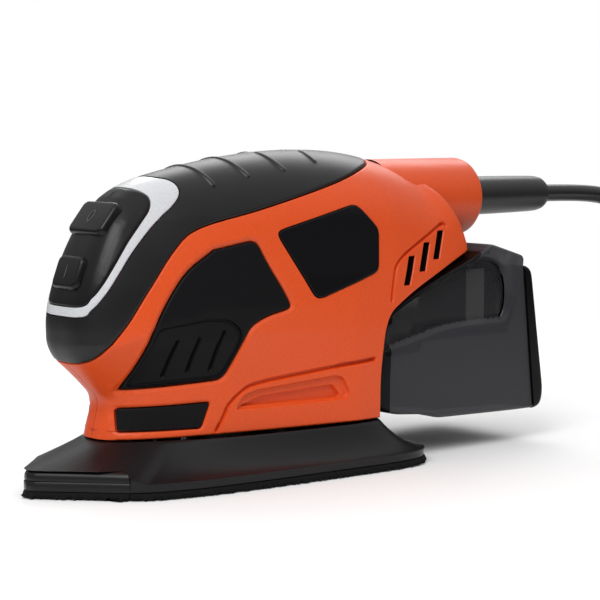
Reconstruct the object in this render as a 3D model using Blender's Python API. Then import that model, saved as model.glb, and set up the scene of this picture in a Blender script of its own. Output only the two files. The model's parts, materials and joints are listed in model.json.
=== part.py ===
"""Detail mouse sander: clamshell body, orbiting platen, dust canister and mains lead.

Frame: +X runs from the pointed nose to the rear, the nose points along -X, +Z is up, and -Y is
the tool's left side.  The origin is where the motor's vertical axis meets the sanding face.
Lengths below are in millimetres and become metres when a mesh is made.
"""
import math

import bmesh
import bpy
from mathutils import Matrix, Vector

MM = 0.001
GAP = 0.3              # running gap between neighbouring pieces

# ---- driving dimensions -------------------------------------------------------------------
BODY_HALF_WIDTH = 32.5
BODY_FLOOR_Z = 17.2
WALL = 3.0             # housing wall
SKIN = 1.8             # thickness of grip, trim and bezel skins
TAPER_LENGTH = 90.0    # distance over which the plan widens from the nose
CROWN_RADIUS = 24.0
REAR_RADIUS = 5.0
BODY_CENTRE = (5.0, 62.0)

ORBIT_RADIUS = 0.8
PLATEN_FLOOR_Z = 8.0
SKIRT_TOP_Z = 16.6
HOOK_THICKNESS = 2.2

BOSS_Z = 93.5          # axis of the cord boss
BOSS_RADIUS = 15.0
BOSS_END_X = 120.0
SLEEVE_END_X = 166.0
CORD_DIAMETER = 7.0
COIL_RADIUS = 36.0     # middle of the coiled turns
COIL_CENTRE = (304.0, -12.0)
COIL_BAND = 21.0       # radial width of the coil, three turns
COIL_BOTTOM_Z = 1.6
COIL_TOP_Z = 22.6
PLUG_LENGTH = 46.0

# body outline in the XZ plane, from the front foot over the nose and top to the rear foot
FRONT_LINE = [(-52.7, 17.2), (-51.2, 22.8), (-50, 28), (-50.6, 31), (-53.4, 34.2), (-58.6, 39.6),
              (-62, 43), (-64, 47), (-64.4, 52), (-64.2, 58), (-62.6, 66), (-58.5, 77), (-52, 89),
              (-43, 99.5)]
TOP_LINE = [(-43, 99.5), (-30, 104.2), (-10, 108.4), (8, 111), (26, 112.4), (44, 112.3),
            (58, 110.9), (70, 108.3), (84, 104)]
REAR_LINE = [(84, 104), (94, 97.5), (101, 88), (105, 78.5), (105.4, 75.6)]
UNDER_LINE = [(105.4, 75.6), (94, 71.4), (82, 66.6), (72, 62.6), (63.4, 58.6), (57, 54.8),
              (53.6, 49.4), (51.8, 40.7), (50.5, 30.8), (50, 17.2)]

# side features, seen square to the XZ plane
GRIP_ZONE = [(-80, 41.6), (-64, 42.2), (-59.4, 44.8), (-55.3, 50.3), (-49.7, 57.6), (-42.5, 67.8),
             (-31.9, 80.4), (-21.5, 87.3), (2.3, 92.8), (18, 96.6), (38, 101.6), (52, 105.4),
             (62, 108), (69.5, 110.5), (71, 120), (-80, 120)]
TRIM_OUTER = [(-80, 58.2), (-64, 59), (-60.4, 61.8), (-56.3, 66.8), (-51.7, 73.2), (-46.4, 80.2),
              (-40.2, 86.5), (-34.4, 91.3), (-30, 94.4), (-26.6, 97.6), (-25.4, 100.4),
              (-26.6, 103.2), (-32, 106), (-44, 120), (-80, 120)]
TRIM_INNER = [(-80, 61.2), (-64, 62.2), (-60, 65.6), (-56.8, 69.8), (-51.9, 76.9), (-47.3, 83.3),
              (-42, 89.1), (-37.6, 93.6), (-36.2, 97), (-37.4, 99.2), (-41, 101.4), (-49, 104),
              (-56, 120), (-80, 120)]
INSERT_ZONE = [(-46.2, 34), (-14.4, 35.9), (-9.4, 45.4), (-5.1, 53.7), (1.4, 56.8), (11.2, 59),
               (10.4, 61.8), (2.9, 75), (-0.5, 82.6), (-17.2, 79.9), (-29.7, 71.8), (-39.7, 57.8),
               (-44.6, 43.9)]
LOWER_INSERT_ZONE = [(-47.7, 26.6), (-20, 27.6), (-22.9, 20.4), (-48.2, 20.6)]
BADGE_ZONE = [(8.6, 84.7), (9.9, 85.6), (40.8, 93.3), (43.4, 92.9), (52, 84.5), (50.4, 70.8),
              (48.8, 69.4), (23.8, 61.7), (21.3, 62.2), (8.8, 83)]
POCKET_ZONE = [(-13.5, 26), (-11, 29.8), (29, 33.2), (33, 33), (37, 26)]
VENT_CENTRES = [(66.8, 68.9), (75.8, 73.4), (84.2, 77.4)]
VENT_SIZE = (3.4, 10.4)
VENT_LEAN = 20.0

BASE_HALF_PLAN = [(-78, 0), (-77.2, 2.6), (-75.4, 4.8), (-66, 14.4), (-56, 25.2), (-51.5, 28.8),
                  (-44, 32.2), (-30, 35.6), (-8, 38.2), (20, 40.2), (45, 41.8), (58, 41.2),
                  (66, 37.8), (70.5, 31), (72.5, 16), (73, 0)]
TIP_BACK_X = -55.0
TIP_TOP_Z = 10.7
EDGE_TOP_Z = 5.4
RIM_HALF_PLAN = [(-52.6, 0), (-51.4, 6), (-47, 12), (-32, 20), (-15, 26.5), (12, 31), (32, 33.2), (44, 33.2),
                 (50, 31), (52.6, 25), (53.2, 12), (53.2, 0)]

CANISTER_PROFILE = [(51.4, 21), (52, 31.4), (53.4, 41.2), (55.2, 49.4), (58.6, 54.4),
                    (64.4, 57.8), (72.6, 61.4), (82.6, 65.2), (96.5, 70.2), (106.9, 74.6),
                    (109, 77), (127.8, 73), (131.6, 68.4), (139, 18), (137, 12), (123, 12.1),
                    (82, 13.2), (76, 15.2), (61, 16.6), (54, 18.6)]
CANISTER_HALF_WIDTH = 28.5
CANISTER_SPLIT = [(134.3, 0), (117.5, 120)]    # leaning line between the canister and its door
DOOR_HINGE_SPOT = (132.8, 12.0)
CANISTER_WALL = 2.0

SCREW_SPOTS = [(-31, 34.7), (44, 25), (47, 58), (95, 81)]
POST_SPOTS = [(-26.5, -8.6), (-26.5, 8.6), (34, -18.5), (34, 18.5)]

# name: colour, roughness, metallic, alpha
FINISHES = {
    "orange_shell": ((0.79, 0.09, 0.014), 0.38, 0.0, 1.0),
    "soft_grip": ((0.012, 0.012, 0.014), 0.6, 0.0, 1.0),
    "silver_trim": ((0.74, 0.75, 0.77), 0.35, 0.35, 1.0),
    "black_plastic": ((0.012, 0.013, 0.015), 0.42, 0.0, 1.0),
    "smoke_plastic": ((0.03, 0.03, 0.035), 0.12, 0.0, 0.55),
    "hook_fabric": ((0.01, 0.01, 0.01), 0.95, 0.0, 1.0),
    "cord_jacket": ((0.01, 0.01, 0.01), 0.45, 0.0, 1.0),
    "steel": ((0.55, 0.56, 0.58), 0.3, 1.0, 1.0),
    "copper_wire": ((0.62, 0.25, 0.1), 0.35, 1.0, 1.0),
    "lamination": ((0.18, 0.19, 0.2), 0.5, 1.0, 1.0),
    "inner_plastic": ((0.04, 0.04, 0.045), 0.5, 0.0, 1.0),
    "carbon": ((0.03, 0.03, 0.03), 0.7, 0.0, 1.0),
    "filter_fabric": ((0.5, 0.48, 0.42), 0.95, 0.0, 1.0),
    "rubber": ((0.015, 0.015, 0.015), 0.7, 0.0, 1.0),
}


# ---- curve and field helpers ----------------------------------------------------------------
def smooth_line(points, per_span):
    """Points along a Catmull-Rom curve through the given open line."""
    line = [Vector(p) for p in points]
    line = [line[0] * 2 - line[1]] + line + [line[-1] * 2 - line[-2]]
    result = []
    for i in range(1, len(line) - 2):
        a, b, c, d = line[i - 1:i + 3]
        for step in range(per_span):
            t = step / per_span
            result.append(0.5 * (2 * b + (c - a) * t + (2 * a - 5 * b + 4 * c - d) * t * t
                                 + (3 * b - a - 3 * c + d) * t ** 3))
    result.append(line[-2])
    return result


def distance_to(points, x, z):
    """Shortest distance from (x, z) to an open line of points."""
    best = 1e9
    for a, b in zip(points, points[1:]):
        ab = b - a
        ap = Vector((x - a.x, z - a.y))
        t = min(1.0, max(0.0, ap.dot(ab) / ab.length_squared))
        best = min(best, (ap - ab * t).length)
    return best


def between(table, value):
    """Straight-line interpolation in a table of (key, value) pairs."""
    if value <= table[0][0]:
        return table[0][1]
    for (k0, v0), (k1, v1) in zip(table, table[1:]):
        if value <= k1:
            return v0 + (v1 - v0) * (value - k0) / (k1 - k0)
    return table[-1][1]


FRONT_CURVE = smooth_line(FRONT_LINE, 2)
TOP_CURVE = smooth_line(TOP_LINE, 2)
REAR_CURVE = smooth_line(REAR_LINE, 2)
UNDER_CURVE = smooth_line(UNDER_LINE, 2)
WIDTH_BY_HEIGHT = [(19, 1.0), (50, 0.985), (68, 0.95), (85, 0.88), (100, 0.82), (115, 0.78)]
WIDTH_BY_LENGTH = [(40, 1.0), (60, 0.98), (80, 0.9), (106, 0.79)]
NOSE_BLUNTNESS = [(19, 0.38), (36, 0.36), (50, 0.27), (70, 0.25), (90, 0.25), (104, 0.3)]


def half_width(x, z, inset):
    """Half the body's width at (x, z) for a body drawn in by inset on every side."""
    width = BODY_HALF_WIDTH * between(WIDTH_BY_HEIGHT, z) * between(WIDTH_BY_LENGTH, x) - inset
    front = max(0.0, distance_to(FRONT_CURVE, x, z) - inset)
    front_share = (min(front, TAPER_LENGTH) / TAPER_LENGTH) ** between(NOSE_BLUNTNESS, z)
    top = max(0.0, distance_to(TOP_CURVE, x, z) - inset) / (CROWN_RADIUS - inset)
    top_share = math.sqrt(1 - (1 - min(1.0, top)) ** 2)
    rear = max(0.0, distance_to(REAR_CURVE, x, z) - inset) / REAR_RADIUS
    rear_share = math.sqrt(1 - (1 - min(1.0, rear)) ** 2)
    shares = [max(s, 1e-4) ** -3 for s in (front_share, top_share, rear_share)]
    return width * (sum(shares) - 2) ** (-1 / 3)


# ---- mesh helpers ---------------------------------------------------------------------------
def finish(name):
    material = bpy.data.materials.get(name)
    if material:
        return material
    colour, roughness, metallic, alpha = FINISHES[name]
    material = bpy.data.materials.new(name)
    material.use_nodes = True
    shader = material.node_tree.nodes["Principled BSDF"]
    shader.inputs["Base Color"].default_value = (*colour, 1)
    shader.inputs["Roughness"].default_value = roughness
    shader.inputs["Metallic"].default_value = metallic
    shader.inputs["Alpha"].default_value = alpha
    material.diffuse_color = (*colour, alpha)
    return material


def make_object(name, bm, material):
    """Turn a bmesh in millimetres into an object in metres."""
    bmesh.ops.remove_doubles(bm, verts=bm.verts, dist=1e-4)
    bmesh.ops.recalc_face_normals(bm, faces=bm.faces)
    for vertex in bm.verts:
        vertex.co = vertex.co * MM
    mesh = bpy.data.meshes.new(name)
    bm.to_mesh(mesh)
    bm.free()
    obj = bpy.data.objects.new(name, mesh)
    bpy.context.scene.collection.objects.link(obj)
    mesh.materials.append(finish(material))
    mesh.shade_smooth()
    mesh.set_sharp_from_angle(angle=math.radians(32))
    return obj


def evaluated_copy(target, split_faces):
    """Mesh of target with its modifiers, large faces split on request, and whether it is closed."""
    bpy.context.view_layer.update()
    graph = bpy.context.evaluated_depsgraph_get()
    result = bpy.data.meshes.new_from_object(target.evaluated_get(graph))
    bm = bmesh.new()
    bm.from_mesh(result)
    if split_faces:
        large = [face for face in bm.faces if len(face.verts) > 4]
        bmesh.ops.triangulate(bm, faces=large, ngon_method=split_faces)
    closed = len(bm.faces) > 0 and all(len(edge.link_faces) == 2 for edge in bm.edges)
    bm.to_mesh(result)
    bm.free()
    return result, closed


def boolean(target, other, operation):
    """Apply a Boolean of target with other, then drop other.

    The exact solver comes first; the manifold solver takes over where it leaves an open edge.
    """
    modifier = target.modifiers.new("combine", "BOOLEAN")
    modifier.operation = operation
    modifier.object = other
    for solver, split_faces in (("EXACT", "BEAUTY"), ("EXACT", "EAR_CLIP"), ("EXACT", ""),
                                ("MANIFOLD", "BEAUTY"), ("MANIFOLD", "EAR_CLIP"), ("MANIFOLD", "")):
        modifier.solver = solver
        result, closed = evaluated_copy(target, split_faces)
        if closed:
            break
    target.modifiers.clear()
    old = target.data
    target.data = result
    bpy.data.meshes.remove(old)
    bpy.data.objects.remove(other)
    return target


def cut(target, other):
    return boolean(target, other, "DIFFERENCE")


def join(target, other):
    return boolean(target, other, "UNION")


def keep(target, other):
    return boolean(target, other, "INTERSECT")


def loft(name, rings, material="black_plastic"):
    """Closed solid through rings of equal point count, capped at both ends."""
    bm = bmesh.new()
    loops = [[bm.verts.new(p) for p in ring] for ring in rings]
    count = len(loops[0])
    for low, high in zip(loops, loops[1:]):
        for i in range(count):
            j = (i + 1) % count
            bm.faces.new((low[i], low[j], high[j], high[i]))
    bm.faces.new(list(reversed(loops[0])))
    bm.faces.new(loops[-1])
    return make_object(name, bm, material)


def turned(name, profile, material, centre=(0, 0), segments=24, axis="Z"):
    """Solid turned about an axis; profile is a closed list of (radius, height) pairs.

    For axis Z, centre is (x, y) and height is z; for axis X, centre is (y, z) and height is x;
    for axis Y, centre is (x, z) and height is y.
    """
    bm = bmesh.new()
    rows = []
    for radius, height in profile:
        row = []
        for i in range(segments):
            angle = math.tau * i / segments
            a, b = radius * math.cos(angle), radius * math.sin(angle)
            spot = {"Z": (centre[0] + a, centre[1] + b, height),
                    "X": (height, centre[0] + a, centre[1] + b),
                    "Y": (centre[0] + a, height, centre[1] + b)}[axis]
            row.append(bm.verts.new(spot))
        rows.append(row)
    hollow = min(radius for radius, height in profile) > 0
    pairs = list(zip(rows, rows[1:] + rows[:1])) if hollow else list(zip(rows, rows[1:]))
    for low, high in pairs:
        for i in range(segments):
            j = (i + 1) % segments
            bm.faces.new((low[i], low[j], high[j], high[i]))
    return make_object(name, bm, material)


def rod(name, radius, low, high, material, centre=(0, 0), segments=20, axis="Z"):
    profile = [(0, low), (radius, low), (radius, high), (0, high)]
    return turned(name, profile, material, centre, segments, axis)


def ring(name, inner, outer, low, high, material, centre=(0, 0), segments=24, axis="Z"):
    profile = [(inner, low), (outer, low), (outer, high), (inner, high)]
    return turned(name, profile, material, centre, segments, axis)


def box(name, low, high, material="black_plastic", bevel=0.0):
    bm = bmesh.new()
    bmesh.ops.create_cube(bm, size=1)
    for vertex in bm.verts:
        vertex.co = Vector((low[k] + (high[k] - low[k]) * (vertex.co[k] + 0.5) for k in range(3)))
    if bevel:
        bmesh.ops.bevel(bm, geom=bm.edges, offset=bevel, segments=2, profile=0.5, affect="EDGES")
    return make_object(name, bm, material)


def prism(name, outline, low_y, high_y, material="black_plastic", bevel=0.0, bevel_segments=2):
    """Solid of an XZ outline pulled along Y, with optional rounded long edges."""
    bm = bmesh.new()
    near = [bm.verts.new((x, low_y, z)) for x, z in outline]
    far = [bm.verts.new((x, high_y, z)) for x, z in outline]
    count = len(outline)
    for i in range(count):
        j = (i + 1) % count
        bm.faces.new((near[i], near[j], far[j], far[i]))
    faces = [bm.faces.new(near), bm.faces.new(far)]
    bmesh.ops.recalc_face_normals(bm, faces=bm.faces)
    if bevel:
        edges = [edge for face in faces for edge in face.edges]
        bmesh.ops.bevel(bm, geom=edges, offset=bevel, segments=bevel_segments, profile=0.5,
                        affect="EDGES")
    return make_object(name, bm, material)


def grown(outline, amount):
    """Closed outline moved outwards by amount (inwards when negative)."""
    points = [Vector(p) for p in outline]
    count = len(points)
    area = sum(points[i].cross(points[(i + 1) % count]) for i in range(count))
    side = 1 if area > 0 else -1
    result = []
    for i in range(count):
        before = (points[i] - points[i - 1]).normalized()
        after = (points[(i + 1) % count] - points[i]).normalized()
        normal_a = Vector((before.y, -before.x)) * side
        normal_b = Vector((after.y, -after.x)) * side
        middle = (normal_a + normal_b).normalized()
        result.append(points[i] + middle * amount / max(0.5, middle.dot(normal_a)))
    return [(p.x, p.y) for p in result]


def rounded(outline, share=0.25):
    """Closed outline with each corner replaced by a short chamfered arc."""
    points = [Vector(p) for p in outline]
    result = []
    for i, point in enumerate(points):
        before, after = points[i - 1], points[(i + 1) % len(points)]
        result.append(point.lerp(before, share))
        result.append(point.lerp((before + after) / 2, share * 0.4))
        result.append(point.lerp(after, share))
    return [(p.x, p.y) for p in result]


# ---- the moulded body -----------------------------------------------------------------------
def outline_points(inset, floor_z, every):
    """Body outline drawn in by inset, with its foot at floor_z, evenly ordered round the body."""
    line = FRONT_CURVE[:-1] + TOP_CURVE[:-1] + REAR_CURVE[:-1] + UNDER_CURVE
    points = []
    for i, point in enumerate(line):
        ahead = line[min(i + 1, len(line) - 1)]
        behind = line[max(i - 1, 0)]
        along = (ahead - behind).normalized()
        moved = point + Vector((along.y, -along.x)) * inset
        if distance_to(line, moved.x, moved.y) > 0.96 * abs(inset) - 0.01 and moved.y > floor_z + 1:
            points.append(moved)
    points.insert(0, Vector((points[0].x, floor_z)))
    points.append(Vector((points[-1].x, floor_z)))
    points = points[:-1:every] + points[-1:]
    last = len(points) - 1
    steps = 4
    for i in range(1, steps):
        points.append(points[last].lerp(points[0], i / steps))
    return points


def body_solid(name, inset=0.0, floor_z=BODY_FLOOR_Z, rings=6, side=0, every=1):
    """Body shape drawn in by inset: flat foot, blunt nose, crowned top and square sides.

    side is -1 or 1 for only the left or right half, which stops GAP / 2 short of the middle.
    every thins the outline for shapes that only hollow out another.
    """
    outline = outline_points(inset, floor_z, every)
    centre = Vector(BODY_CENTRE)
    bm = bmesh.new()
    sides = []
    least = 0.4 if side else 0.05
    for sign in (side,) if side else (-1, 1):
        rows = []
        for k in range(rings):
            share = 1 - math.cos(0.5 * math.pi * k / rings)
            row = []
            for point in outline:
                spot = point.lerp(centre, share)
                width = half_width(spot.x, spot.y, inset)
                row.append(bm.verts.new((spot.x, sign * max(width, least), spot.y)))
            rows.append(row)
        hub = bm.verts.new((centre.x, sign * half_width(centre.x, centre.y, inset), centre.y))
        count = len(outline)
        for low, high in zip(rows, rows[1:]):
            for i in range(count):
                j = (i + 1) % count
                bm.faces.new((low[i], low[j], high[j], high[i]))
        for i in range(count):
            bm.faces.new((rows[-1][i], rows[-1][(i + 1) % count], hub))
        sides.append(rows[0])
    if side:
        sides.append([bm.verts.new((p.x, side * GAP / 2, p.y)) for p in outline])
        bm.faces.new(sides[1])
    for i in range(len(outline)):
        j = (i + 1) % len(outline)
        bm.faces.new((sides[0][i], sides[0][j], sides[1][j], sides[1][i]))
    return make_object(name, bm, "orange_shell")


def skin(name, zone, outer_inset, inner_inset, low_y, high_y, material):
    """Piece of the body's surface layer over an XZ zone."""
    piece = body_solid(name, outer_inset, BODY_FLOOR_Z, 5)
    keep(piece, prism("zone", zone, low_y, high_y))
    cut(piece, body_solid("core", inner_inset, BODY_FLOOR_Z - 2, 4, every=2))
    piece.data.materials.clear()
    piece.data.materials.append(finish(material))
    return piece


def largest_part(obj):
    """Keep only the largest connected piece of a mesh."""
    bm = bmesh.new()
    bm.from_mesh(obj.data)
    left = set(bm.verts)
    groups = []
    while left:
        stack = [left.pop()]
        group = set(stack)
        while stack:
            for edge in stack.pop().link_edges:
                for vertex in edge.verts:
                    if vertex in left:
                        left.remove(vertex)
                        group.add(vertex)
                        stack.append(vertex)
        groups.append(group)
    groups.sort(key=len)
    for group in groups[:-1]:
        bmesh.ops.delete(bm, geom=list(group), context="VERTS")
    bm.to_mesh(obj.data)
    bm.free()
    return obj


def side_ranges():
    """Y ranges that reach only the left and only the right flank."""
    return (("left", -60.0, -4.0), ("right", 4.0, 60.0))


def tilted_box(name, centre, lean_deg, length, width, depth, proud, material, bevel=0.0):
    """Box whose top stands proud of a tilted panel; lean is measured from the vertical."""
    lean = math.radians(lean_deg)
    outward = Vector((-math.cos(lean), 0, math.sin(lean)))
    along = Vector((math.sin(lean), 0, math.cos(lean)))
    middle = Vector((centre[0], 0, centre[1])) + outward * (proud - depth / 2)
    bm = bmesh.new()
    bmesh.ops.create_cube(bm, size=1)
    for vertex in bm.verts:
        a, b, c = vertex.co
        vertex.co = middle + outward * (a * depth) + Vector((0, 1, 0)) * (b * width) + along * (c * length)
    bmesh.ops.recalc_face_normals(bm, faces=bm.faces)
    if bevel:
        bmesh.ops.bevel(bm, geom=bm.edges, offset=bevel, segments=2, profile=0.5, affect="EDGES")
    return make_object(name, bm, material)


# ---- switch panel ---------------------------------------------------------------------------
ON_BUTTON = {"centre": (-59.6, 72.9), "lean": 21.0, "length": 12.0, "width": 15.0, "proud": 2.1}
OFF_BUTTON = {"centre": (-49.6, 90.2), "lean": 39.0, "length": 13.6, "width": 20.4, "proud": 2.2}
BUTTON_DEPTH = 7.5
ROCKER_PIVOT = (-47.0, 79.0)
ROCKER_LEAN = 29.0


def button(name, spec):
    return tilted_box(name, spec["centre"], spec["lean"], spec["length"], spec["width"], BUTTON_DEPTH,
                      spec["proud"], "black_plastic", 1.2)


def button_window(spec):
    clear = 2 * 0.5
    return tilted_box("window", spec["centre"], spec["lean"], spec["length"] + clear,
                      spec["width"] + clear, 24, 12, "black_plastic")


def add_switch():
    button("off_button", OFF_BUTTON)
    button("on_button", ON_BUTTON)
    tilted_box("switch_rocker", ROCKER_PIVOT, ROCKER_LEAN, 21, 16, 2.6, 1.3, "inner_plastic", 0.5)
    box("switch_body", (-38, -9, 66), (-23, 9, 84), "inner_plastic", 0.8)


# ---- housings and skins ---------------------------------------------------------------------
def screw_bosses(housing, sign):
    for x, z in SCREW_SPOTS:
        reach = half_width(x, z, 0)
        low, high = sorted((sign * 0.15, sign * (reach - 2.6)))
        join(housing, rod("boss", 4.6, low, high, "orange_shell", (x, z), 16, "Y"))
    for x, z in SCREW_SPOTS:
        reach = half_width(x, z, 0)
        if sign > 0:
            profile = [(0, -1), (1.8, -1), (1.8, reach - 5), (3.0, reach - 5), (3.0, reach + 5),
                       (0, reach + 5)]
            cut(housing, turned("stepped_bore", profile, "steel", (x, z), 14, "Y"))
        else:
            cut(housing, rod("bore", 1.8, -(reach - 5), 1, "steel", (x, z), 12, "Y"))


def vent_outline(x, z):
    """Leaning slot of the rear vents."""
    across, tall = VENT_SIZE[0] / 2, VENT_SIZE[1] / 2
    shift = tall * math.tan(math.radians(VENT_LEAN))
    return [(x - across - shift, z - tall), (x + across - shift, z - tall),
            (x + across + shift, z + tall), (x - across + shift, z + tall)]


def add_housing(name, sign):
    shell = body_solid(name, 0.0, BODY_FLOOR_Z, 5, sign)
    boss = turned("boss", [(0, 72), (BOSS_RADIUS, 72), (BOSS_RADIUS, BOSS_END_X - 2.5),
                           (BOSS_RADIUS - 0.7, BOSS_END_X - 0.8), (BOSS_RADIUS - 2.4, BOSS_END_X),
                           (0, BOSS_END_X)], "orange_shell", (0, BOSS_Z), 32, "X")
    near, far = sorted((sign * GAP / 2, sign * 40))
    keep(boss, box("half", (50, near, 60), (140, far, 130)))
    join(shell, boss)
    cavity = body_solid("cavity", WALL, BODY_FLOOR_Z + WALL, 4, every=2)
    cut(shell, cavity)
    screw_bosses(shell, sign)
    for spec in (OFF_BUTTON, ON_BUTTON):
        cut(shell, button_window(spec))
    cut(shell, rod("bore", 12, 66, BOSS_END_X - WALL, "steel", (0, BOSS_Z), 28, "X"))
    cut(shell, rod("sleeve_hole", 7.7, 100, 130, "steel", (0, BOSS_Z), 26, "X"))
    region = prism("region", grown(GRIP_ZONE, GAP), -60, 60)
    cut(region, body_solid("core", SKIN + 1.5 * GAP, BODY_FLOOR_Z - 2, 4, every=2))
    cut(shell, region)
    low, high = sorted((sign * 60.0, sign * 4.0))
    for zone, depth, room in ((INSERT_ZONE, 2.0, 0.4), (LOWER_INSERT_ZONE, 2.0, 0.4),
                              (BADGE_ZONE, 1.7, 0.4), (POCKET_ZONE, 1.6, 0.0)):
        region = prism("region", grown(zone, room), low, high)
        cut(region, body_solid("core", depth, BODY_FLOOR_Z - 2, 4, every=2))
        cut(shell, region)
    for x, z in VENT_CENTRES:
        cut(shell, prism("vent", vent_outline(x, z), low, high))
    cut(shell, rod("floor_hole", 20.5, 15, 24, "steel", (0, 0), 32))
    for x, y in POST_SPOTS:
        if y * sign > 0:
            cut(shell, rod("post_hole", 4.9, 15, 24, "steel", (x, y), 16))
    cut(shell, box("dust_outlet", (44, -10, 30.2), (60, 10, 37.8)))
    largest_part(shell)


def add_skins():
    grip = skin("top_grip", GRIP_ZONE, 0.0, SKIN, -60, 60, "soft_grip")
    cut(grip, prism("trim_room", grown(TRIM_OUTER, GAP), -60, 60))
    largest_part(grip)
    trim = skin("silver_trim", TRIM_OUTER, 0.0, SKIN, -60, 60, "silver_trim")
    cut(trim, prism("bezel_room", grown(TRIM_INNER, GAP), -60, 60))
    for spec in (OFF_BUTTON, ON_BUTTON):
        cut(trim, button_window(spec))
    largest_part(trim)
    bezel = skin("switch_bezel", TRIM_INNER, 0.2, SKIN, -60, 60, "black_plastic")
    for spec in (OFF_BUTTON, ON_BUTTON):
        cut(bezel, button_window(spec))
    largest_part(bezel)
    for side, low, high in side_ranges():
        skin("side_grip_" + side, INSERT_ZONE, 0.3, 1.4, low, high, "soft_grip")
        skin("front_insert_" + side, LOWER_INSERT_ZONE, 0.3, 1.4, low, high, "soft_grip")
        skin("badge_plate_" + side, BADGE_ZONE, -0.4, 1.2, low, high, "black_plastic")


def add_housing_screws():
    for number, (x, z) in enumerate(SCREW_SPOTS, 1):
        reach = half_width(x, z, 0)
        profile = [(0, -(reach - 6)), (1.5, -(reach - 6)), (1.5, reach - 4.7), (2.7, reach - 4.7),
                   (2.7, reach - 2.7), (0, reach - 2.7)]
        turned("housing_screw_%d" % number, profile, "steel", (x, z), 12, "Y")


# ---- motor ----------------------------------------------------------------------------------
STATOR_RADIUS = 20.5
BORE_RADIUS = 14.0


def coil_frame(name, side, extra, material):
    """Field winding: a rectangular loop standing beside the armature."""
    near, far = 15.4 - extra, 18.6 + extra
    low, high = sorted((side * near, side * far))
    loop = box(name, (-11 - extra, low, 42.4 - extra), (11 + extra, high, 77.6 + extra), material)
    inner = 7.4 - extra
    return cut(loop, box("core", (-inner, low - 5, 45.6 + extra), (inner, high + 5, 74.4 - extra)))


def add_motor():
    stator = ring("stator_core", BORE_RADIUS, STATOR_RADIUS, 46, 74, "lamination", segments=28)
    for side in (-1, 1):
        cut(stator, coil_frame("slot", side, GAP, "lamination"))
    coil_frame("field_coil_left", -1, 0, "copper_wire")
    coil_frame("field_coil_right", 1, 0, "copper_wire")
    shaft = rod("motor_shaft", 3.0, 18.5, 98, "steel", segments=16)
    join(shaft, rod("crank", 3.7, 9.0, 19.5, "steel", (ORBIT_RADIUS, 0), 16))
    ring("armature_core", 3.3, 13.2, 48, 72, "lamination", segments=24)
    ring("armature_winding_lower", 3.3, 11.5, 44.9, 47.6, "copper_wire", segments=20)
    ring("armature_winding_upper", 3.3, 11.5, 72.4, 76.4, "copper_wire", segments=20)
    ring("commutator", 3.3, 8.0, 78.8, 88.0, "copper_wire", segments=20)
    ring("upper_bearing", 3.3, 8.0, 92.0, 96.5, "steel", segments=20)
    ring("lower_bearing", 3.3, 9.0, 39.0, 43.6, "steel", segments=20)
    bracket = ring("motor_bracket", 9.3, 19.0, 38.6, 42.0, "inner_plastic", segments=24)
    for low, high in ((-20, -14.6), (14.6, 20)):
        cut(bracket, box("coil_room", (-12, low, 38), (12, high, 43)))
    for side, sign in (("left", -1), ("right", 1)):
        low, high = sorted((sign * 8.4, sign * 17.0))
        box("carbon_brush_" + side, (-2.6, low, 80.4), (2.6, high, 86.4), "carbon")
        low, high = sorted((sign * 10.5, sign * 18.2))
        holder = box("brush_holder_" + side, (-4.2, low, 78.8), (4.2, high, 88.0), "inner_plastic")
        low, high = sorted((sign * 9.0, sign * 17.3))
        cut(holder, box("brush_room", (-2.9, low, 80.1), (2.9, high, 86.7)))
    box("suppression_capacitor", (24, -8, 78), (38, 8, 92), "inner_plastic", 1.0)


def add_fan_and_weight():
    fan = ring("cooling_fan", 3.3, 18.0, 34.6, 36.4, "inner_plastic", segments=24)
    join(fan, ring("hub", 3.3, 6.0, 29.5, 35.5, "inner_plastic", segments=16))
    for i in range(9):
        angle = math.tau * i / 9
        bm = bmesh.new()
        bmesh.ops.create_cube(bm, size=1)
        turn = Matrix.Rotation(angle, 3, "Z")
        for vertex in bm.verts:
            a, b, c = vertex.co
            vertex.co = turn @ Vector((12 + 11 * a, 1.0 * b + 3.0 * a, 32.8 + 5.0 * c))
        join(fan, make_object("blade", bm, "inner_plastic"))
    weight = ring("counterweight", 3.3, 17.5, 20.6, 27.5, "steel", segments=24)
    cut(weight, box("relief", (5.5, -30, 15), (30, 30, 32)))


# ---- platen ---------------------------------------------------------------------------------
def full_plan(half_plan, per_span=1):
    """Whole plan outline from its +Y half, nose first."""
    line = smooth_line(half_plan, per_span)
    return [(p.x, p.y) for p in line] + [(p.x, -p.y) for p in reversed(line[1:-1])]


def polar_plan(outline, angle, centre_x):
    """Point of a plan outline at an angle about (centre_x, 0)."""
    direction = Vector((math.cos(angle), math.sin(angle)))
    centre = Vector((centre_x, 0))
    best = 0.0
    count = len(outline)
    for i in range(count):
        a = Vector(outline[i]) - centre
        edge = Vector(outline[(i + 1) % count]) - Vector(outline[i])
        divisor = direction.cross(edge)
        if abs(divisor) < 1e-9:
            continue
        along = a.cross(edge) / divisor
        share = a.cross(direction) / divisor
        if -1e-6 <= share <= 1 + 1e-6:
            best = max(best, along)
    return centre + direction * best


def edge_top(x):
    """Height of the skirt's foot: high over the nose, low along the rest."""
    t = min(1.0, max(0.0, (x + 55) / 22))
    ease = t * t * (3 - 2 * t)
    return 11.0 + (EDGE_TOP_Z - 11.0) * ease


def platen_angles():
    """Angles about the plan's centre, closer together round the pointed nose."""
    half = [180 - d for d in (0, 2, 4, 8, 13, 19, 26, 35, 45, 56, 68, 80, 92, 104, 116, 126, 134, 141, 147,
                              153, 160, 170)]
    degrees = half + [0] + [-d for d in reversed(half[1:])]
    return [math.radians(d) for d in degrees]


def plan_prism(name, outline, low_z, high_z, material):
    return loft(name, [[(x, y, low_z) for x, y in outline], [(x, y, high_z) for x, y in outline]], material)


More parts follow.
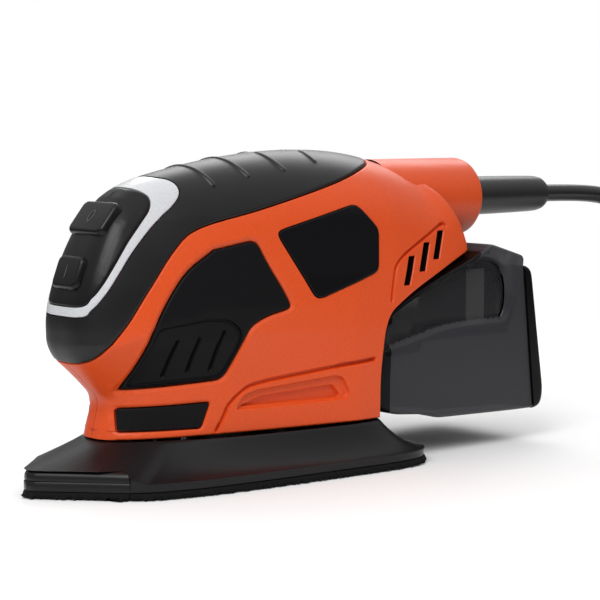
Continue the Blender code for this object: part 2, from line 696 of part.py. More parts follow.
def add_platen():
    base = full_plan(BASE_HALF_PLAN)
    rim = full_plan(RIM_HALF_PLAN)
    angles = platen_angles()
    foot = [polar_plan(base, a, 0) for a in angles]
    top = [polar_plan(rim, a, 0) for a in angles]
    rings = [[(p.x, p.y, HOOK_THICKNESS + 0.1) for p in foot], [(p.x, p.y, edge_top(p.x)) for p in foot]]
    for share in (0.2, 0.42, 0.66, 0.86, 1.0):
        row = []
        for low, high in zip(foot, top):
            spot = low.lerp(high, share)
            rise = 0.35 * share + 0.65 * share ** 2.2
            start = edge_top(low.x)
            row.append((spot.x, spot.y, start + (SKIRT_TOP_Z - start) * rise))
        rings.append(row)
    platen = loft("base_platen", rings)
    inner = [polar_plan(grown(rim, -3.0), a, 0) for a in angles[::2]]
    cut(platen, plan_prism("well", [(p.x, p.y) for p in inner], PLATEN_FLOOR_Z, 30, "steel"))
    cut(platen, box("tip_room", (-100, -60, -10), (TIP_BACK_X + GAP, 60, TIP_TOP_Z + GAP)))
    join(platen, ring("hub", 11.4, 14.5, PLATEN_FLOOR_Z - 1, 16.0, "steel", (ORBIT_RADIUS, 0), 24))
    cut(platen, rod("tip_screw_bore", 1.8, 8, 13.2, "steel", (-61, 0), 12))
    ring("platen_bearing", 4.0, 11.1, 8.6, 15.4, "steel", (ORBIT_RADIUS, 0), 24)
    tip = plan_prism("detail_tip", base, HOOK_THICKNESS + 0.1, TIP_TOP_Z, "black_plastic")
    keep(tip, box("front", (-100, -60, -10), (TIP_BACK_X, 60, 30)))
    cut(tip, rod("bore", 1.8, -5, 20, "steel", (-61, 0), 12))
    cut(tip, rod("counterbore", 3.6, -5, 4.6, "steel", (-61, 0), 16))
    turned("tip_screw", [(0, 2.6), (3.2, 2.6), (3.2, 4.3), (1.5, 4.3), (1.5, 12.6), (0, 12.6)], "steel",
           (-61, 0), 12)
    pad = plan_prism("hook_pad_main", grown(base, -0.4), 0, HOOK_THICKNESS - 0.2, "hook_fabric")
    keep(pad, box("rear", (TIP_BACK_X + GAP, -60, -5), (100, 60, 30)))
    tip_pad = plan_prism("hook_pad_tip", grown(base, -0.4), 0, HOOK_THICKNESS - 0.2, "hook_fabric")
    keep(tip_pad, box("front", (-100, -60, -10), (TIP_BACK_X, 60, 30)))
    for number, (x, y) in enumerate(POST_SPOTS, 1):
        profile = [(0, PLATEN_FLOOR_Z + 0.4), (5.5, PLATEN_FLOOR_Z + 0.4), (5.5, 11), (4.2, 13), (4.2, 20.5),
                   (5.5, 20.5), (5.5, 22.7), (0, 22.7)]
        turned("flex_post_%d" % number, profile, "rubber", (x, y), 14)


# ---- dust canister --------------------------------------------------------------------------
def add_canister():
    outer = rounded(CANISTER_PROFILE, 0.12)
    shape = prism("canister_body", outer, -CANISTER_HALF_WIDTH, CANISTER_HALF_WIDTH, "smoke_plastic")
    room = prism("room", grown(CANISTER_PROFILE, -CANISTER_WALL), -CANISTER_HALF_WIDTH + CANISTER_WALL,
                 CANISTER_HALF_WIDTH - CANISTER_WALL, "smoke_plastic")
    cut(shape, room)
    cut(shape, box("inlet", (48, -9.5, 30.5), (56.5, 9.5, 37.5)))
    door = shape.copy()
    door.data = shape.data.copy()
    door.name = "canister_door"
    bpy.context.scene.collection.objects.link(door)
    (foot_x, foot_z), (head_x, head_z) = CANISTER_SPLIT
    keep(shape, prism("front", [(0, foot_z), (foot_x, foot_z), (head_x, head_z), (0, head_z)], -60, 60))
    keep(door, prism("rear", [(foot_x + GAP, foot_z), (200, foot_z), (200, head_z), (head_x + GAP, head_z)],
                     -60, 60))
    door.data.materials.clear()
    door.data.materials.append(finish("black_plastic"))
    panel = box("canister_filter", (98.5, -26, 46), (108, 26, 67.5), "filter_fabric")
    for z in (49.6, 56.8, 64.0):
        cut(panel, box("pleat", (95, -24, z - 2.2), (105.5, 24, z + 2.2)))


# ---- mains lead -----------------------------------------------------------------------------
CORD_ROUTE = [(84, 0, 93.5), (105, 0, 93.5), (130, 0, 93.5), (155, 0, 93.5), (175, 0, 93.4), (192, 0, 92.8),
              (206, 0, 91.2), (219, -5, 87.3), (231, -14, 80.5), (242, -25, 70.5), (252, -37, 57.5),
              (261, -48, 42.5), (269, -56.6, 27.5), (277, -61.4, 14.5), (285, -62.7, 7.0), (294, -62.7, 4.2),
              (303.5, -62.6, 3.8)]


def add_lead():
    bore = CORD_DIAMETER / 2 + 0.4
    profile = [(bore, 112), (10.8, 112), (10.8, 116.5), (7.3, 116.5), (7.3, 122), (7.1, 140), (6.8, 158),
               (6.0, 163.8), (4.8, SLEEVE_END_X), (bore, SLEEVE_END_X)]
    turned("strain_relief", profile, "rubber", (0, BOSS_Z), 18, "X")
    curve = bpy.data.curves.new("power_cord", "CURVE")
    curve.dimensions = "3D"
    curve.bevel_depth = CORD_DIAMETER / 2 * MM
    curve.bevel_resolution = 2
    curve.render_resolution_u = 0
    curve.use_fill_caps = True
    points = smooth_line([Vector(p) for p in CORD_ROUTE], 2)
    spline = curve.splines.new("POLY")
    spline.points.add(len(points) - 1)
    for target, point in zip(spline.points, points):
        target.co = (*(point * MM), 1)
    lead = bpy.data.objects.new("power_cord", curve)
    bpy.context.scene.collection.objects.link(lead)
    curve.materials.append(finish("cord_jacket"))
    inner, outer = COIL_RADIUS - COIL_BAND / 2, COIL_RADIUS + COIL_BAND / 2
    ring("cord_coil", inner, outer, COIL_BOTTOM_Z, COIL_TOP_Z, "cord_jacket", COIL_CENTRE, 36)
    x, y = COIL_CENTRE
    tie = box("cord_tie", (x - outer - 1.3, y - 4, COIL_BOTTOM_Z - 1.3),
              (x - inner + 1.3, y + 4, COIL_TOP_Z + 1.3), "rubber", 0.4)
    cut(tie, box("strap_room", (x - outer - 0.4, y - 6, COIL_BOTTOM_Z - 0.4),
                 (x - inner + 0.4, y + 6, COIL_TOP_Z + 0.4)))


def add_clamp_and_plug():
    clamp = box("cord_clamp", (86, -8.6, 97.3), (94, 8.6, 99.6), "inner_plastic", 0.4)
    for name, y in (("clamp_screw_left", -6.0), ("clamp_screw_right", 6.0)):
        cut(clamp, rod("bore", 1.5, 90, 105, "steel", (90, y), 12))
        turned(name, [(0, 89), (1.2, 89), (1.2, 99.8), (2.0, 99.8), (2.0, 101.0), (0, 101.0)], "steel",
               (90, y), 12)
    x = COIL_CENTRE[0] + COIL_RADIUS + COIL_BAND / 2 + 4.0
    start = COIL_CENTRE[1] + 2
    body = []
    for along, wide, tall in ((0, 3.5, 3.5), (10, 3.8, 3.8), (18, 4.4, 4.4), (21, 6.4, 6.0), (25, 8.4, 6.8),
                              (PLUG_LENGTH - 3, 8.8, 6.9), (PLUG_LENGTH, 8.4, 6.5)):
        row = []
        for i in range(16):
            angle = math.tau * i / 16
            c, s = math.cos(angle), math.sin(angle)
            power = 0.55 if along > 18 else 1.0
            row.append((x + wide * math.copysign(abs(c) ** power, c), start + along,
                        7.2 + tall * math.copysign(abs(s) ** power, s)))
        body.append(row)
    plug = loft("plug_body", body, "cord_jacket")
    for name, offset in (("plug_pin_left", -4.6), ("plug_pin_right", 4.6)):
        spot = (x + offset, 7.2)
        end = start + PLUG_LENGTH
        cut(plug, rod("socket", 2.3, end - 5.3, end + 5, "steel", spot, 12, "Y"))
        turned(name, [(0, end - 5), (2.0, end - 5), (2.0, end + 18), (1.2, end + 19), (0, end + 19)],
               "steel", spot, 12, "Y")


def merge_flat_faces(obj):
    """Join the flat fragments that Booleans leave, where the mesh stays closed."""
    bm = bmesh.new()
    bm.from_mesh(obj.data)
    bmesh.ops.dissolve_limit(bm, angle_limit=math.radians(0.4), verts=bm.verts, edges=bm.edges)
    bmesh.ops.triangulate(bm, faces=bm.faces)
    if all(len(edge.link_faces) == 2 for edge in bm.edges):
        bm.to_mesh(obj.data)
    bm.free()


# ---- origins of the moving pieces ---------------------------------------------------------------
MOTOR_AXIS = (0.0, 0.0, 30.0)
ORBIT_AXIS = (ORBIT_RADIUS, 0.0, 12.0)
DOOR_HINGE = (DOOR_HINGE_SPOT[0], 0.0, DOOR_HINGE_SPOT[1])
MOVING_PIECES = [
    (MOTOR_AXIS, ("motor_shaft", "armature_core", "armature_winding_lower", "armature_winding_upper",
                  "commutator", "cooling_fan", "counterweight")),
    (ORBIT_AXIS, ("base_platen", "detail_tip", "tip_screw", "hook_pad_main", "hook_pad_tip",
                  "platen_bearing")),
    ((OFF_BUTTON["centre"][0], 0.0, OFF_BUTTON["centre"][1]), ("off_button",)),
    ((ON_BUTTON["centre"][0], 0.0, ON_BUTTON["centre"][1]), ("on_button",)),
    ((ROCKER_PIVOT[0], 0.0, ROCKER_PIVOT[1]), ("switch_rocker",)),
    ((100.0, 0.0, 45.0), ("canister_body", "canister_filter")),
    (DOOR_HINGE, ("canister_door",)),
]


def move_origins():
    """Put each moving piece's origin on the axis that it turns about or slides along."""
    for point, names in MOVING_PIECES:
        shift = Vector(point) * MM
        for name in names:
            obj = bpy.data.objects[name]
            obj.data.transform(Matrix.Translation(-shift))
            obj.location = shift


def main():
    for obj in list(bpy.data.objects):
        bpy.data.objects.remove(obj)
    add_housing("housing_left", -1)
    add_housing("housing_right", 1)
    add_skins()
    add_switch()
    add_housing_screws()
    add_motor()
    add_fan_and_weight()
    add_platen()
    add_canister()
    add_lead()
    add_clamp_and_plug()
    for obj in bpy.data.objects:
        if obj.type == "MESH":
            merge_flat_faces(obj)
    move_origins()


main()
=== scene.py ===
"""Looks of the detail mouse sander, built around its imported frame.

The frame is in metres: +X from the pointed nose to the rear, +Z up, and -Y is the tool's left.
Shapes below are drawn in millimetres, and MM turns them into metres when a mesh is made.
"""
import json
import math

import bmesh
import bpy
import numpy as np
from mathutils import Matrix, Vector
from mathutils.geometry import delaunay_2d_cdt


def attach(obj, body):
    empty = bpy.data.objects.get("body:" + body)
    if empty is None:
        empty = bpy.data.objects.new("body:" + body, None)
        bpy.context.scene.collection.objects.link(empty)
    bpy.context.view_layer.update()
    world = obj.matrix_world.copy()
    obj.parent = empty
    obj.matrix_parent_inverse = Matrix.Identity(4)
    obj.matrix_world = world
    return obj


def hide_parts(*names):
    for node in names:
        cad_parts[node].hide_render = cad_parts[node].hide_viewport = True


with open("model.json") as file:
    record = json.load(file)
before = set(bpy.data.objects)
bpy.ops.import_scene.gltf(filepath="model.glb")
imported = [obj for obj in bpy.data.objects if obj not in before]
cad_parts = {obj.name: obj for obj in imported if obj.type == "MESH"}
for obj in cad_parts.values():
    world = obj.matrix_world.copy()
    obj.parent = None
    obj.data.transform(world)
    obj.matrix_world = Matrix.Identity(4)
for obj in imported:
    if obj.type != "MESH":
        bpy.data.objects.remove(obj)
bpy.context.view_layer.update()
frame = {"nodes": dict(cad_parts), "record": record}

MM = 0.001
SMOOTH_ANGLE = 38.0      # degrees; sharper edges than this stay crisp
SLIVER = 1e-9

# ---- driving dimensions, shared with the CAD model ----
BODY_HALF_WIDTH = 32.5
BODY_FLOOR_Z = 17.2
WALL = 3.0
SKIN = 1.8
TAPER_LENGTH = 90.0
CROWN_RADIUS = 24.0
REAR_RADIUS = 5.0
SEAM = 0.12              # half the gap between the two housing halves
BOSS_Z = 93.5
BOSS_RADIUS = 15.0
BOSS_END_X = 120.0
BOSS_BORE = 7.7
BOSS_ROOT_X = 72.0
SHAFT_HOLE_RADIUS = 20.5
POST_HOLE_RADIUS = 4.9
POST_CENTRES = [(-26.5, 8.6), (34, 18.5)]
SWITCH_OPENING_Z = (68.5, 96.8)

FRONT_LINE = [(-52.7, 17.2), (-51.2, 22.8), (-50, 28), (-50.6, 31), (-53.4, 34.2), (-58.6, 39.6),
              (-62, 43), (-64, 47), (-64.4, 52), (-64.2, 58), (-62.6, 66), (-58.5, 77), (-52, 89),
              (-43, 99.5)]
TOP_LINE = [(-43, 99.5), (-30, 104.2), (-10, 108.4), (8, 111), (26, 112.4), (44, 112.3),
            (58, 110.9), (70, 108.3), (84, 104)]
REAR_LINE = [(84, 104), (94, 97.5), (101, 88), (105, 78.5), (105.4, 75.6)]
UNDER_LINE = [(105.4, 75.6), (94, 71.4), (82, 66.6), (72, 62.6), (63.4, 58.6), (57, 54.8),
              (53.6, 49.4), (51.8, 40.7), (50.5, 30.8), (50, 17.2)]
WIDTH_BY_HEIGHT = [(19, 1.0), (50, 0.985), (68, 0.95), (85, 0.88), (100, 0.82), (115, 0.78)]
WIDTH_BY_LENGTH = [(40, 1.0), (60, 0.98), (80, 0.9), (106, 0.79)]
NOSE_BLUNTNESS = [(19, 0.38), (36, 0.36), (50, 0.27), (70, 0.25), (90, 0.25), (104, 0.3)]

GRIP_ZONE = [(-80, 41.6), (-64, 42.2), (-59.4, 44.8), (-55.3, 50.3), (-49.7, 57.6), (-42.5, 67.8),
             (-31.9, 80.4), (-21.5, 87.3), (2.3, 92.8), (18, 96.6), (38, 101.6), (52, 105.4),
             (62, 108), (69.5, 110.5), (71, 120), (-80, 120)]
TRIM_OUTER = [(-80, 58.2), (-64, 59), (-60.4, 61.8), (-56.3, 66.8), (-51.7, 73.2), (-46.4, 80.2),
              (-40.2, 86.5), (-34.4, 91.3), (-30, 94.4), (-26.6, 97.6), (-25.4, 100.4),
              (-26.6, 103.2), (-32, 106), (-44, 120), (-80, 120)]
TRIM_INNER = [(-80, 61.2), (-64, 62.2), (-60, 65.6), (-56.8, 69.8), (-51.9, 76.9), (-47.3, 83.3),
              (-42, 89.1), (-37.6, 93.6), (-36.2, 97), (-37.4, 99.2), (-41, 101.4), (-49, 104),
              (-56, 120), (-80, 120)]
INSERT_ZONE = [(-46.2, 34), (-14.4, 35.9), (-9.4, 45.4), (-5.1, 53.7), (1.4, 56.8), (11.2, 59),
               (10.4, 61.8), (2.9, 75), (-0.5, 82.6), (-17.2, 79.9), (-29.7, 71.8), (-39.7, 57.8),
               (-44.6, 43.9)]
LOWER_INSERT_ZONE = [(-48.2, 27.5), (-18.8, 28.3), (-22, 19.8), (-48.6, 19.9)]
BADGE_ZONE = [(8.6, 84.7), (9.9, 85.6), (40.8, 93.3), (43.4, 92.9), (52, 84.5), (50.4, 70.8),
              (48.8, 69.4), (23.8, 61.7), (21.3, 62.2), (8.8, 83)]
VENT_CENTRES = [(66.8, 68.9), (75.8, 73.4), (84.2, 77.4)]
VENT_SIZE = (3.4, 10.4)
VENT_LEAN = 20.0

# surface details of the side
POCKET_ZONE = [(-9.5, 24.9), (-6.8, 29.6), (-1.7, 31.4), (29.5, 34.2), (33, 33.4), (35.9, 27.4),
               (34, 25.4)]
SLOT_ZONE = [(-7.4, 25.9), (0.5, 29.0), (29.6, 30.9), (32.6, 26.8), (31, 26.1)]
POCKET_GROOVE = [(-16.6, 18.6), (-14, 23), (-11.7, 27.3), (-5.5, 32.4), (1, 34), (7.5, 34.9),
                 (31.2, 37.4), (47.4, 38.5)]
VENT_GROOVE = [(56.4, 58.8), (57.8, 66), (59.6, 70.9), (64.4, 74.6), (76, 80), (87, 84.9), (89.2, 84.4)]
PANEL_ZONE = [(-39.6, 54.6), (-28.9, 55.9), (-21.8, 56.8), (-13.7, 56), (-9.3, 52.7),
              (-8.9, 49.9), (-10.8, 44.8), (-15.2, 36.9), (-46.2, 34.9)]
PANEL_SLOTS = [[(-32.4, 49.7), (-33.9, 45), (-35.5, 38.1)],
               [(-24.4, 50.2), (-26.1, 44.8), (-27.3, 39.3)],
               [(-15.1, 52), (-17.5, 46.3), (-19.2, 39.5)]]
RIBS = [[(-14.4, 107.4), (-13.8, 104.4), (-12.6, 101.4)],
        [(0.2, 109.8), (0.7, 107), (1.9, 104.2)], [(16.2, 111.2), (16.6, 108.8), (17.6, 106.2)],
        [(34.4, 111.6), (34.0, 110.2), (34, 108.8)]]


# ---- plane curves ----
def unit(vectors):
    return vectors / np.maximum(np.linalg.norm(vectors, axis=1, keepdims=True), 1e-9)


def curve(points, per_span=6):
    """Catmull-Rom curve through an open line of points."""
    line = np.array(points, float)
    line = np.vstack([2 * line[0] - line[1], line, 2 * line[-1] - line[-2]])
    t = np.arange(per_span)[:, None] / per_span
    spans = [0.5 * (2 * b + (c - a) * t + (2 * a - 5 * b + 4 * c - d) * t ** 2
                    + (3 * b - a - 3 * c + d) * t ** 3)
             for a, b, c, d in zip(line, line[1:], line[2:], line[3:])]
    return np.vstack(spans + [line[-2:-1]])


def round_corners(points, radius, steps=5):
    """Closed loop with each corner replaced by a short curve."""
    corner = np.array(points, float)
    result = []
    for before, here, after in zip(np.roll(corner, 1, 0), corner, np.roll(corner, -1, 0)):
        a, b = before - here, after - here
        length_a, length_b = np.linalg.norm(a), np.linalg.norm(b)
        start = here + a / length_a * min(radius, 0.46 * length_a)
        end = here + b / length_b * min(radius, 0.46 * length_b)
        for t in np.linspace(0, 1, steps):
            result.append((1 - t) ** 2 * start + 2 * t * (1 - t) * here + t ** 2 * end)
    return np.array(result)


def resample(loop, step, closed=True):
    """Loop with its long edges divided so that no edge is longer than step."""
    line = np.vstack([loop, loop[:1]]) if closed else loop
    result = []
    for a, b in zip(line, line[1:]):
        count = max(1, math.ceil(np.linalg.norm(b - a) / step))
        result.extend(a + (b - a) * k / count for k in range(count))
    if not closed:
        result.append(line[-1])
    return np.array(result)


def rounded_loop(points, radius):
    return resample(round_corners(points, radius), 3)


def loop_sign(loop):
    x, z = loop[:, 0], loop[:, 1]
    return 1 if np.sum(x * np.roll(z, -1) - np.roll(x, -1) * z) > 0 else -1


def offset_loop(loop, amount):
    """Closed loop moved outwards by amount."""
    before = loop - np.roll(loop, 1, 0)
    after = np.roll(loop, -1, 0) - loop
    normals = [np.stack([edge[:, 1], -edge[:, 0]], 1) * loop_sign(loop)
               for edge in (unit(before), unit(after))]
    middle = unit(normals[0] + normals[1])
    reach = np.maximum(0.6, (middle * normals[0]).sum(1, keepdims=True))
    return loop + middle * amount / reach


def distance_to(line, points):
    """Distance from each point to an open line."""
    start, along = line[:-1], np.diff(line, axis=0)
    relative = points[:, None, :] - start[None]
    share = np.clip((relative * along).sum(2) / np.maximum((along ** 2).sum(1), 1e-12), 0, 1)
    return np.sqrt(((relative - share[..., None] * along) ** 2).sum(2)).min(1)


def inside(loop, points):
    """Whether each point lies inside a closed loop."""
    x, z = points[:, :1], points[:, 1:2]
    ax, az = loop[:, 0][None], loop[:, 1][None]
    bx, bz = np.roll(loop[:, 0], -1)[None], np.roll(loop[:, 1], -1)[None]
    crosses = (az > z) != (bz > z)
    slope = np.where(crosses, (bx - ax) / np.where(bz == az, 1, bz - az), 0)
    return (crosses & (x < ax + slope * (z - az))).sum(1) % 2 == 1


def signed_distance(loop, points):
    """Distance to a closed loop, negative inside it."""
    away = distance_to(np.vstack([loop, loop[:1]]), points)
    return np.where(inside(loop, points), -away, away)


def ribbon(line, half):
    """Closed loop round an open line, half wide on each side with round ends."""
    middle = curve(line)
    along = unit(np.gradient(middle, axis=0))
    normal = np.stack([-along[:, 1], along[:, 0]], 1)
    turns = np.linspace(0, math.pi, 7)[1:-1, None]
    end = middle[-1] + half * (normal[-1] * np.cos(turns) + along[-1] * np.sin(turns))
    start = middle[0] - half * (normal[0] * np.cos(turns) + along[0] * np.sin(turns))
    return np.vstack([middle + normal * half, end, (middle - normal * half)[::-1], start])


# ---- the body's surface ----
FRONT_CURVE = curve(FRONT_LINE)
TOP_CURVE = curve(TOP_LINE)
REAR_CURVE = curve(REAR_LINE)
UNDER_CURVE = curve(UNDER_LINE)
ROUND_EDGE = np.vstack([FRONT_CURVE[:-1], TOP_CURVE[:-1], REAR_CURVE])
FOOT_LINE = resample(np.array([UNDER_CURVE[-1], FRONT_CURVE[0]]), 2.5, closed=False)
CUT_EDGE = np.vstack([UNDER_CURVE[:-1], FOOT_LINE])
SILHOUETTE = np.vstack([ROUND_EDGE[:-1], CUT_EDGE[:-1]])
EDGE_STEPS = (0.0013, 0.006, 0.02, 0.06, 0.14, 0.33, 0.65, 1.1, 1.8, 2.9, 4.4, 6.6, 9.4, 13, 18)


def table(pairs, value):
    return np.interp(value, [k for k, v in pairs], [v for k, v in pairs])


def half_width(points):
    """Half the body's width over XZ points."""
    x, z = points[:, 0], points[:, 1]
    width = BODY_HALF_WIDTH * table(WIDTH_BY_HEIGHT, z) * table(WIDTH_BY_LENGTH, x)
    front = distance_to(FRONT_CURVE, points)
    shares = [(np.minimum(front, TAPER_LENGTH) / TAPER_LENGTH) ** table(NOSE_BLUNTNESS, z)]
    for line, radius in ((TOP_CURVE, CROWN_RADIUS), (REAR_CURVE, REAR_RADIUS)):
        away = np.minimum(1, distance_to(line, points) / radius)
        shares.append(np.sqrt(1 - (1 - away) ** 2))
    total = sum(np.maximum(share, 1e-4) ** -3.0 for share in shares)
    return width * (total - 2) ** (-1 / 3)


def surface(points):
    """Points of the body's +Y side over XZ points, with their outward normals."""
    edge = distance_to(ROUND_EDGE, points)
    width = np.where(edge < 1e-4, 0.0, half_width(points))
    step = np.clip(0.4 * edge, 1e-5, 0.05)
    slopes = []
    for direction in ((1, 0), (0, 1)):
        shift = step[:, None] * np.array(direction)
        slopes.append((half_width(points + shift) - half_width(points - shift)) / (2 * step))
    normal = unit(np.stack([-slopes[0], np.ones(len(points)), -slopes[1]], 1))
    near = np.where(edge < 1e-4)[0]
    if len(near):
        middle = (ROUND_EDGE[1:] + ROUND_EDGE[:-1]) / 2
        along = unit(np.diff(ROUND_EDGE, axis=0))
        closest = ((points[near][:, None] - middle[None]) ** 2).sum(2).argmin(1)
        normal[near] = np.stack([-along[closest, 1], 0 * closest, along[closest, 0]], 1)
    return np.stack([points[:, 0], width, points[:, 1]], 1), normal


def edge_lines():
    """Lines that run round the rounded edge of the body at a few small distances inside it."""
    along = unit(np.gradient(ROUND_EDGE, axis=0))
    inward = np.stack([along[:, 1], -along[:, 0]], 1)
    lines = []
    for step in EDGE_STEPS:
        line = ROUND_EDGE + inward * step
        line = line[distance_to(ROUND_EDGE, line) > 0.97 * step]
        lines.append(np.vstack([line[0] - (0, 3), line]))
    return lines


# ---- meshes ----
def linked(name, data):
    obj = bpy.data.objects.new(name, data)
    bpy.context.scene.collection.objects.link(obj)
    return obj


def sharpen(mesh, angle):
    """Keep crisp the edges that turn by more than an angle in degrees."""
    mesh.set_sharp_from_angle(angle=math.radians(angle))


def add_mesh(name, points, faces, material, smooth_angle=SMOOTH_ANGLE, normals=None):
    """Object from points in millimetres; normals are (face, corner) vectors or zero for automatic."""
    mesh = bpy.data.meshes.new(name)
    mesh.from_pydata([tuple(p) for p in np.asarray(points) * MM], [], [tuple(f) for f in faces])
    mesh.materials.append(material)
    mesh.shade_smooth()
    sharpen(mesh, smooth_angle)
    if normals is not None:
        mesh.normals_split_custom_set([tuple(n) for n in normals])
    return linked(name, mesh)


def triangulate(lines, samples):
    """Triangles over lines, given as (points, closed), and loose samples; also each point's lines."""
    points, edges, owner = [], [], []
    for number, (line, closed) in enumerate(lines):
        start = len(points)
        points.extend(line)
        owner.extend([number] * len(line))
        edges.extend((start + i, start + i + 1) for i in range(len(line) - 1))
        if closed:
            edges.append((start + len(line) - 1, start))
    if len(samples):
        points.extend(samples)
        owner.extend([-1] * len(samples))
    found = delaunay_2d_cdt([Vector(p) for p in points], edges, [], 0, 1e-7)
    owners = [{owner[i] for i in ids} for ids in found[3]]
    return np.array([tuple(p) for p in found[0]]), np.array(found[2]), owners


def profile_lines(features):
    """The lines along which the features' profiles bend."""
    return [(offset_loop(loop, bend[0]), True) for loop, profile in features for bend in profile]


def grid_samples(loop, spacing, lines, clearance):
    """Grid points inside a loop that keep clear of the given lines."""
    low, high = loop.min(0), loop.max(0)
    across = np.arange(low[0] + spacing / 2, high[0], spacing)
    up = np.arange(low[1] + spacing / 2, high[1], spacing)
    grid = np.stack(np.meshgrid(across, up), -1).reshape(-1, 2)
    grid[:, 0] += np.where(np.round((grid[:, 1] - up[0]) / spacing) % 2 > 0, spacing / 4, -spacing / 4)
    grid = grid[inside(loop, grid)]
    for line, closed in lines:
        whole = np.vstack([line, line[:1]]) if closed else line
        grid = grid[distance_to(whole, grid) > clearance]
    return grid


def neat(points, faces, owners, chosen):
    """Chosen triangles without slivers, and only the points that they use."""
    corners = points[faces]
    size = np.abs(np.cross(corners[:, 1] - corners[:, 0], corners[:, 2] - corners[:, 0]))
    used, faces = np.unique(faces[chosen & (size > SLIVER)], return_inverse=True)
    return points[used], faces.reshape(-1, 3), [owners[i] for i in used]


def open_edges(faces):
    """Directed edges that only one triangle has."""
    edges = dict.fromkeys((a, b) for face in faces for a, b in zip(face, np.roll(face, -1)))
    return [(a, b) for a, b in edges if (b, a) not in edges]


def fillet(radius, away):
    """Depth of a rounded edge at points that lie away outside its flat part."""
    return radius - np.sqrt(np.maximum(radius ** 2 - away ** 2, 0))


def relief(points, owners, features, first):
    """Depth below the surface at each point from the features' profiles.

    first is the index of the first feature line; a point on such a line takes its exact depth.
    """
    depth = np.zeros(len(points))
    flat = np.ones(len(points), bool)
    number = first
    for loop, profile in features:
        offsets, values = zip(*profile)
        away = signed_distance(loop, points)
        share = np.interp(away, offsets[::-1], values[::-1])
        flat &= ~((away < offsets[0] - 1e-3) & (away > offsets[-1] + 1e-3))
        for k in range(len(profile)):
            for i, lines in enumerate(owners):
                if number + k in lines:
                    share[i] = values[k]
                    flat[i] = k in (0, len(profile) - 1)
        number += len(profile)
        depth += share
    return depth, flat


def body_surface(region, features=(), lift=0.0, thickness=SKIN, holes=(), spacing=2.6, edge_round=0.0,
                 floor_round=0.0):
    """Closed skin over a region of the body's +Y side: points, faces, corner normals.

    features are (loop, profile) pairs that sink or raise the surface; a profile lists
    (distance outside the loop, depth) from the outside in. holes are loops left open.
    edge_round rounds the region's own rim, and floor_round the body's cut lower edges.
    """
    lines = [(SILHOUETTE, True)] + [(line, False) for line in edge_lines()]
    if floor_round:
        lines += [(offset_loop(SILHOUETTE, -floor_round * s)[len(ROUND_EDGE) - 2:], False)
                  for s in (1, 0.6, 0.25)]
    if region is not None:
        lines += [(region, True)]
        if edge_round:
            lines += [(offset_loop(region, -edge_round * s), True) for s in (1, 0.55, 0.2)]
    lines += [(hole, True) for hole in holes]
    first = len(lines)
    lines += profile_lines(features)
    area = SILHOUETTE if region is None else region
    samples = grid_samples(area, spacing, lines, 0.3 * spacing)
    samples = samples[inside(SILHOUETTE, samples)]
    points, faces, owners = triangulate(lines, samples)
    middles = points[faces].mean(1)
    chosen = inside(SILHOUETTE, middles)
    if region is not None:
        chosen &= inside(region, middles)
    for hole in holes:
        chosen &= ~inside(hole, middles)
    points, faces, owners = neat(points, faces, owners, chosen)
    depth, flat = relief(points, owners, features, first)
    if edge_round and region is not None:
        away = np.clip(edge_round + signed_distance(region, points), 0, edge_round)
        depth += fillet(edge_round, away)
        flat &= away < 1e-3
    if floor_round:
        away = np.clip(floor_round - distance_to(CUT_EDGE, points), 0, floor_round)
        away *= np.clip(distance_to(ROUND_EDGE, points) / 4, 0, 1)
        depth += fillet(floor_round, away)
        flat &= away < 1e-3
    base, normal = surface(points)
    top = base - normal * (depth + lift)[:, None]
    bottom = base - normal * (thickness + lift)
    count = len(points)
    rim = open_edges(faces)
    walls = [(a, b, b + count) for a, b in rim] + [(a, b + count, a + count) for a, b in rim]
    all_faces = [tuple(f) for f in faces] + [tuple(f[::-1] + count) for f in faces] + \
        [(c[1], c[0], c[2]) for c in walls]
    corners = top[faces]
    face_normal = unit(np.cross(corners[:, 1] - corners[:, 0], corners[:, 2] - corners[:, 0]))
    if np.mean(face_normal[:, 1]) < 0:
        all_faces = [f[::-1] for f in all_faces]
        face_normal = -face_normal
        faces = faces[:, ::-1]
    corner = normal[faces]
    use = flat[faces] & ((corner * face_normal[:, None]).sum(2) > 0.6)
    corner = np.where(use[..., None], corner, 0)
    normals = np.vstack([corner.reshape(-1, 3), np.zeros((3 * (len(all_faces) - len(faces)), 3))])
    return np.vstack([top, bottom]), all_faces, normals


def mirrored(part):
    """The same skin on the -Y side."""
    points, faces, normals = part
    flip = np.array([1, -1, 1])
    turned = normals.reshape(-1, 3, 3)[:, ::-1] * flip
    return points * flip, [f[::-1] for f in faces], turned.reshape(-1, 3)


def joined(*parts):
    """Several (points, faces, normals) as one."""
    points, faces, normals, start = [], [], [], 0
    for p, f, n in parts:
        points.append(p)
        faces.extend(tuple(i + start for i in face) for face in f)
        normals.append(n if n is not None else np.zeros((sum(len(face) for face in f), 3)))
        start += len(p)
    return np.vstack(points), faces, np.vstack(normals)


def seated(part, gap):
    """Move a half that reaches the middle plane so that it stops short of it."""
    points, faces, normals = part
    points = points.copy()
    points[:, 1] = np.maximum(points[:, 1], gap)
    return points, faces, normals


# ---- materials ----
def add_node(tree, kind, **values):
    """Shader node with its inputs set; an underscore in a keyword stands for a space."""
    node = tree.nodes.new("ShaderNode" + kind)
    for name, value in values.items():
        node.inputs[name.replace("_", " ")].default_value = value
    return node


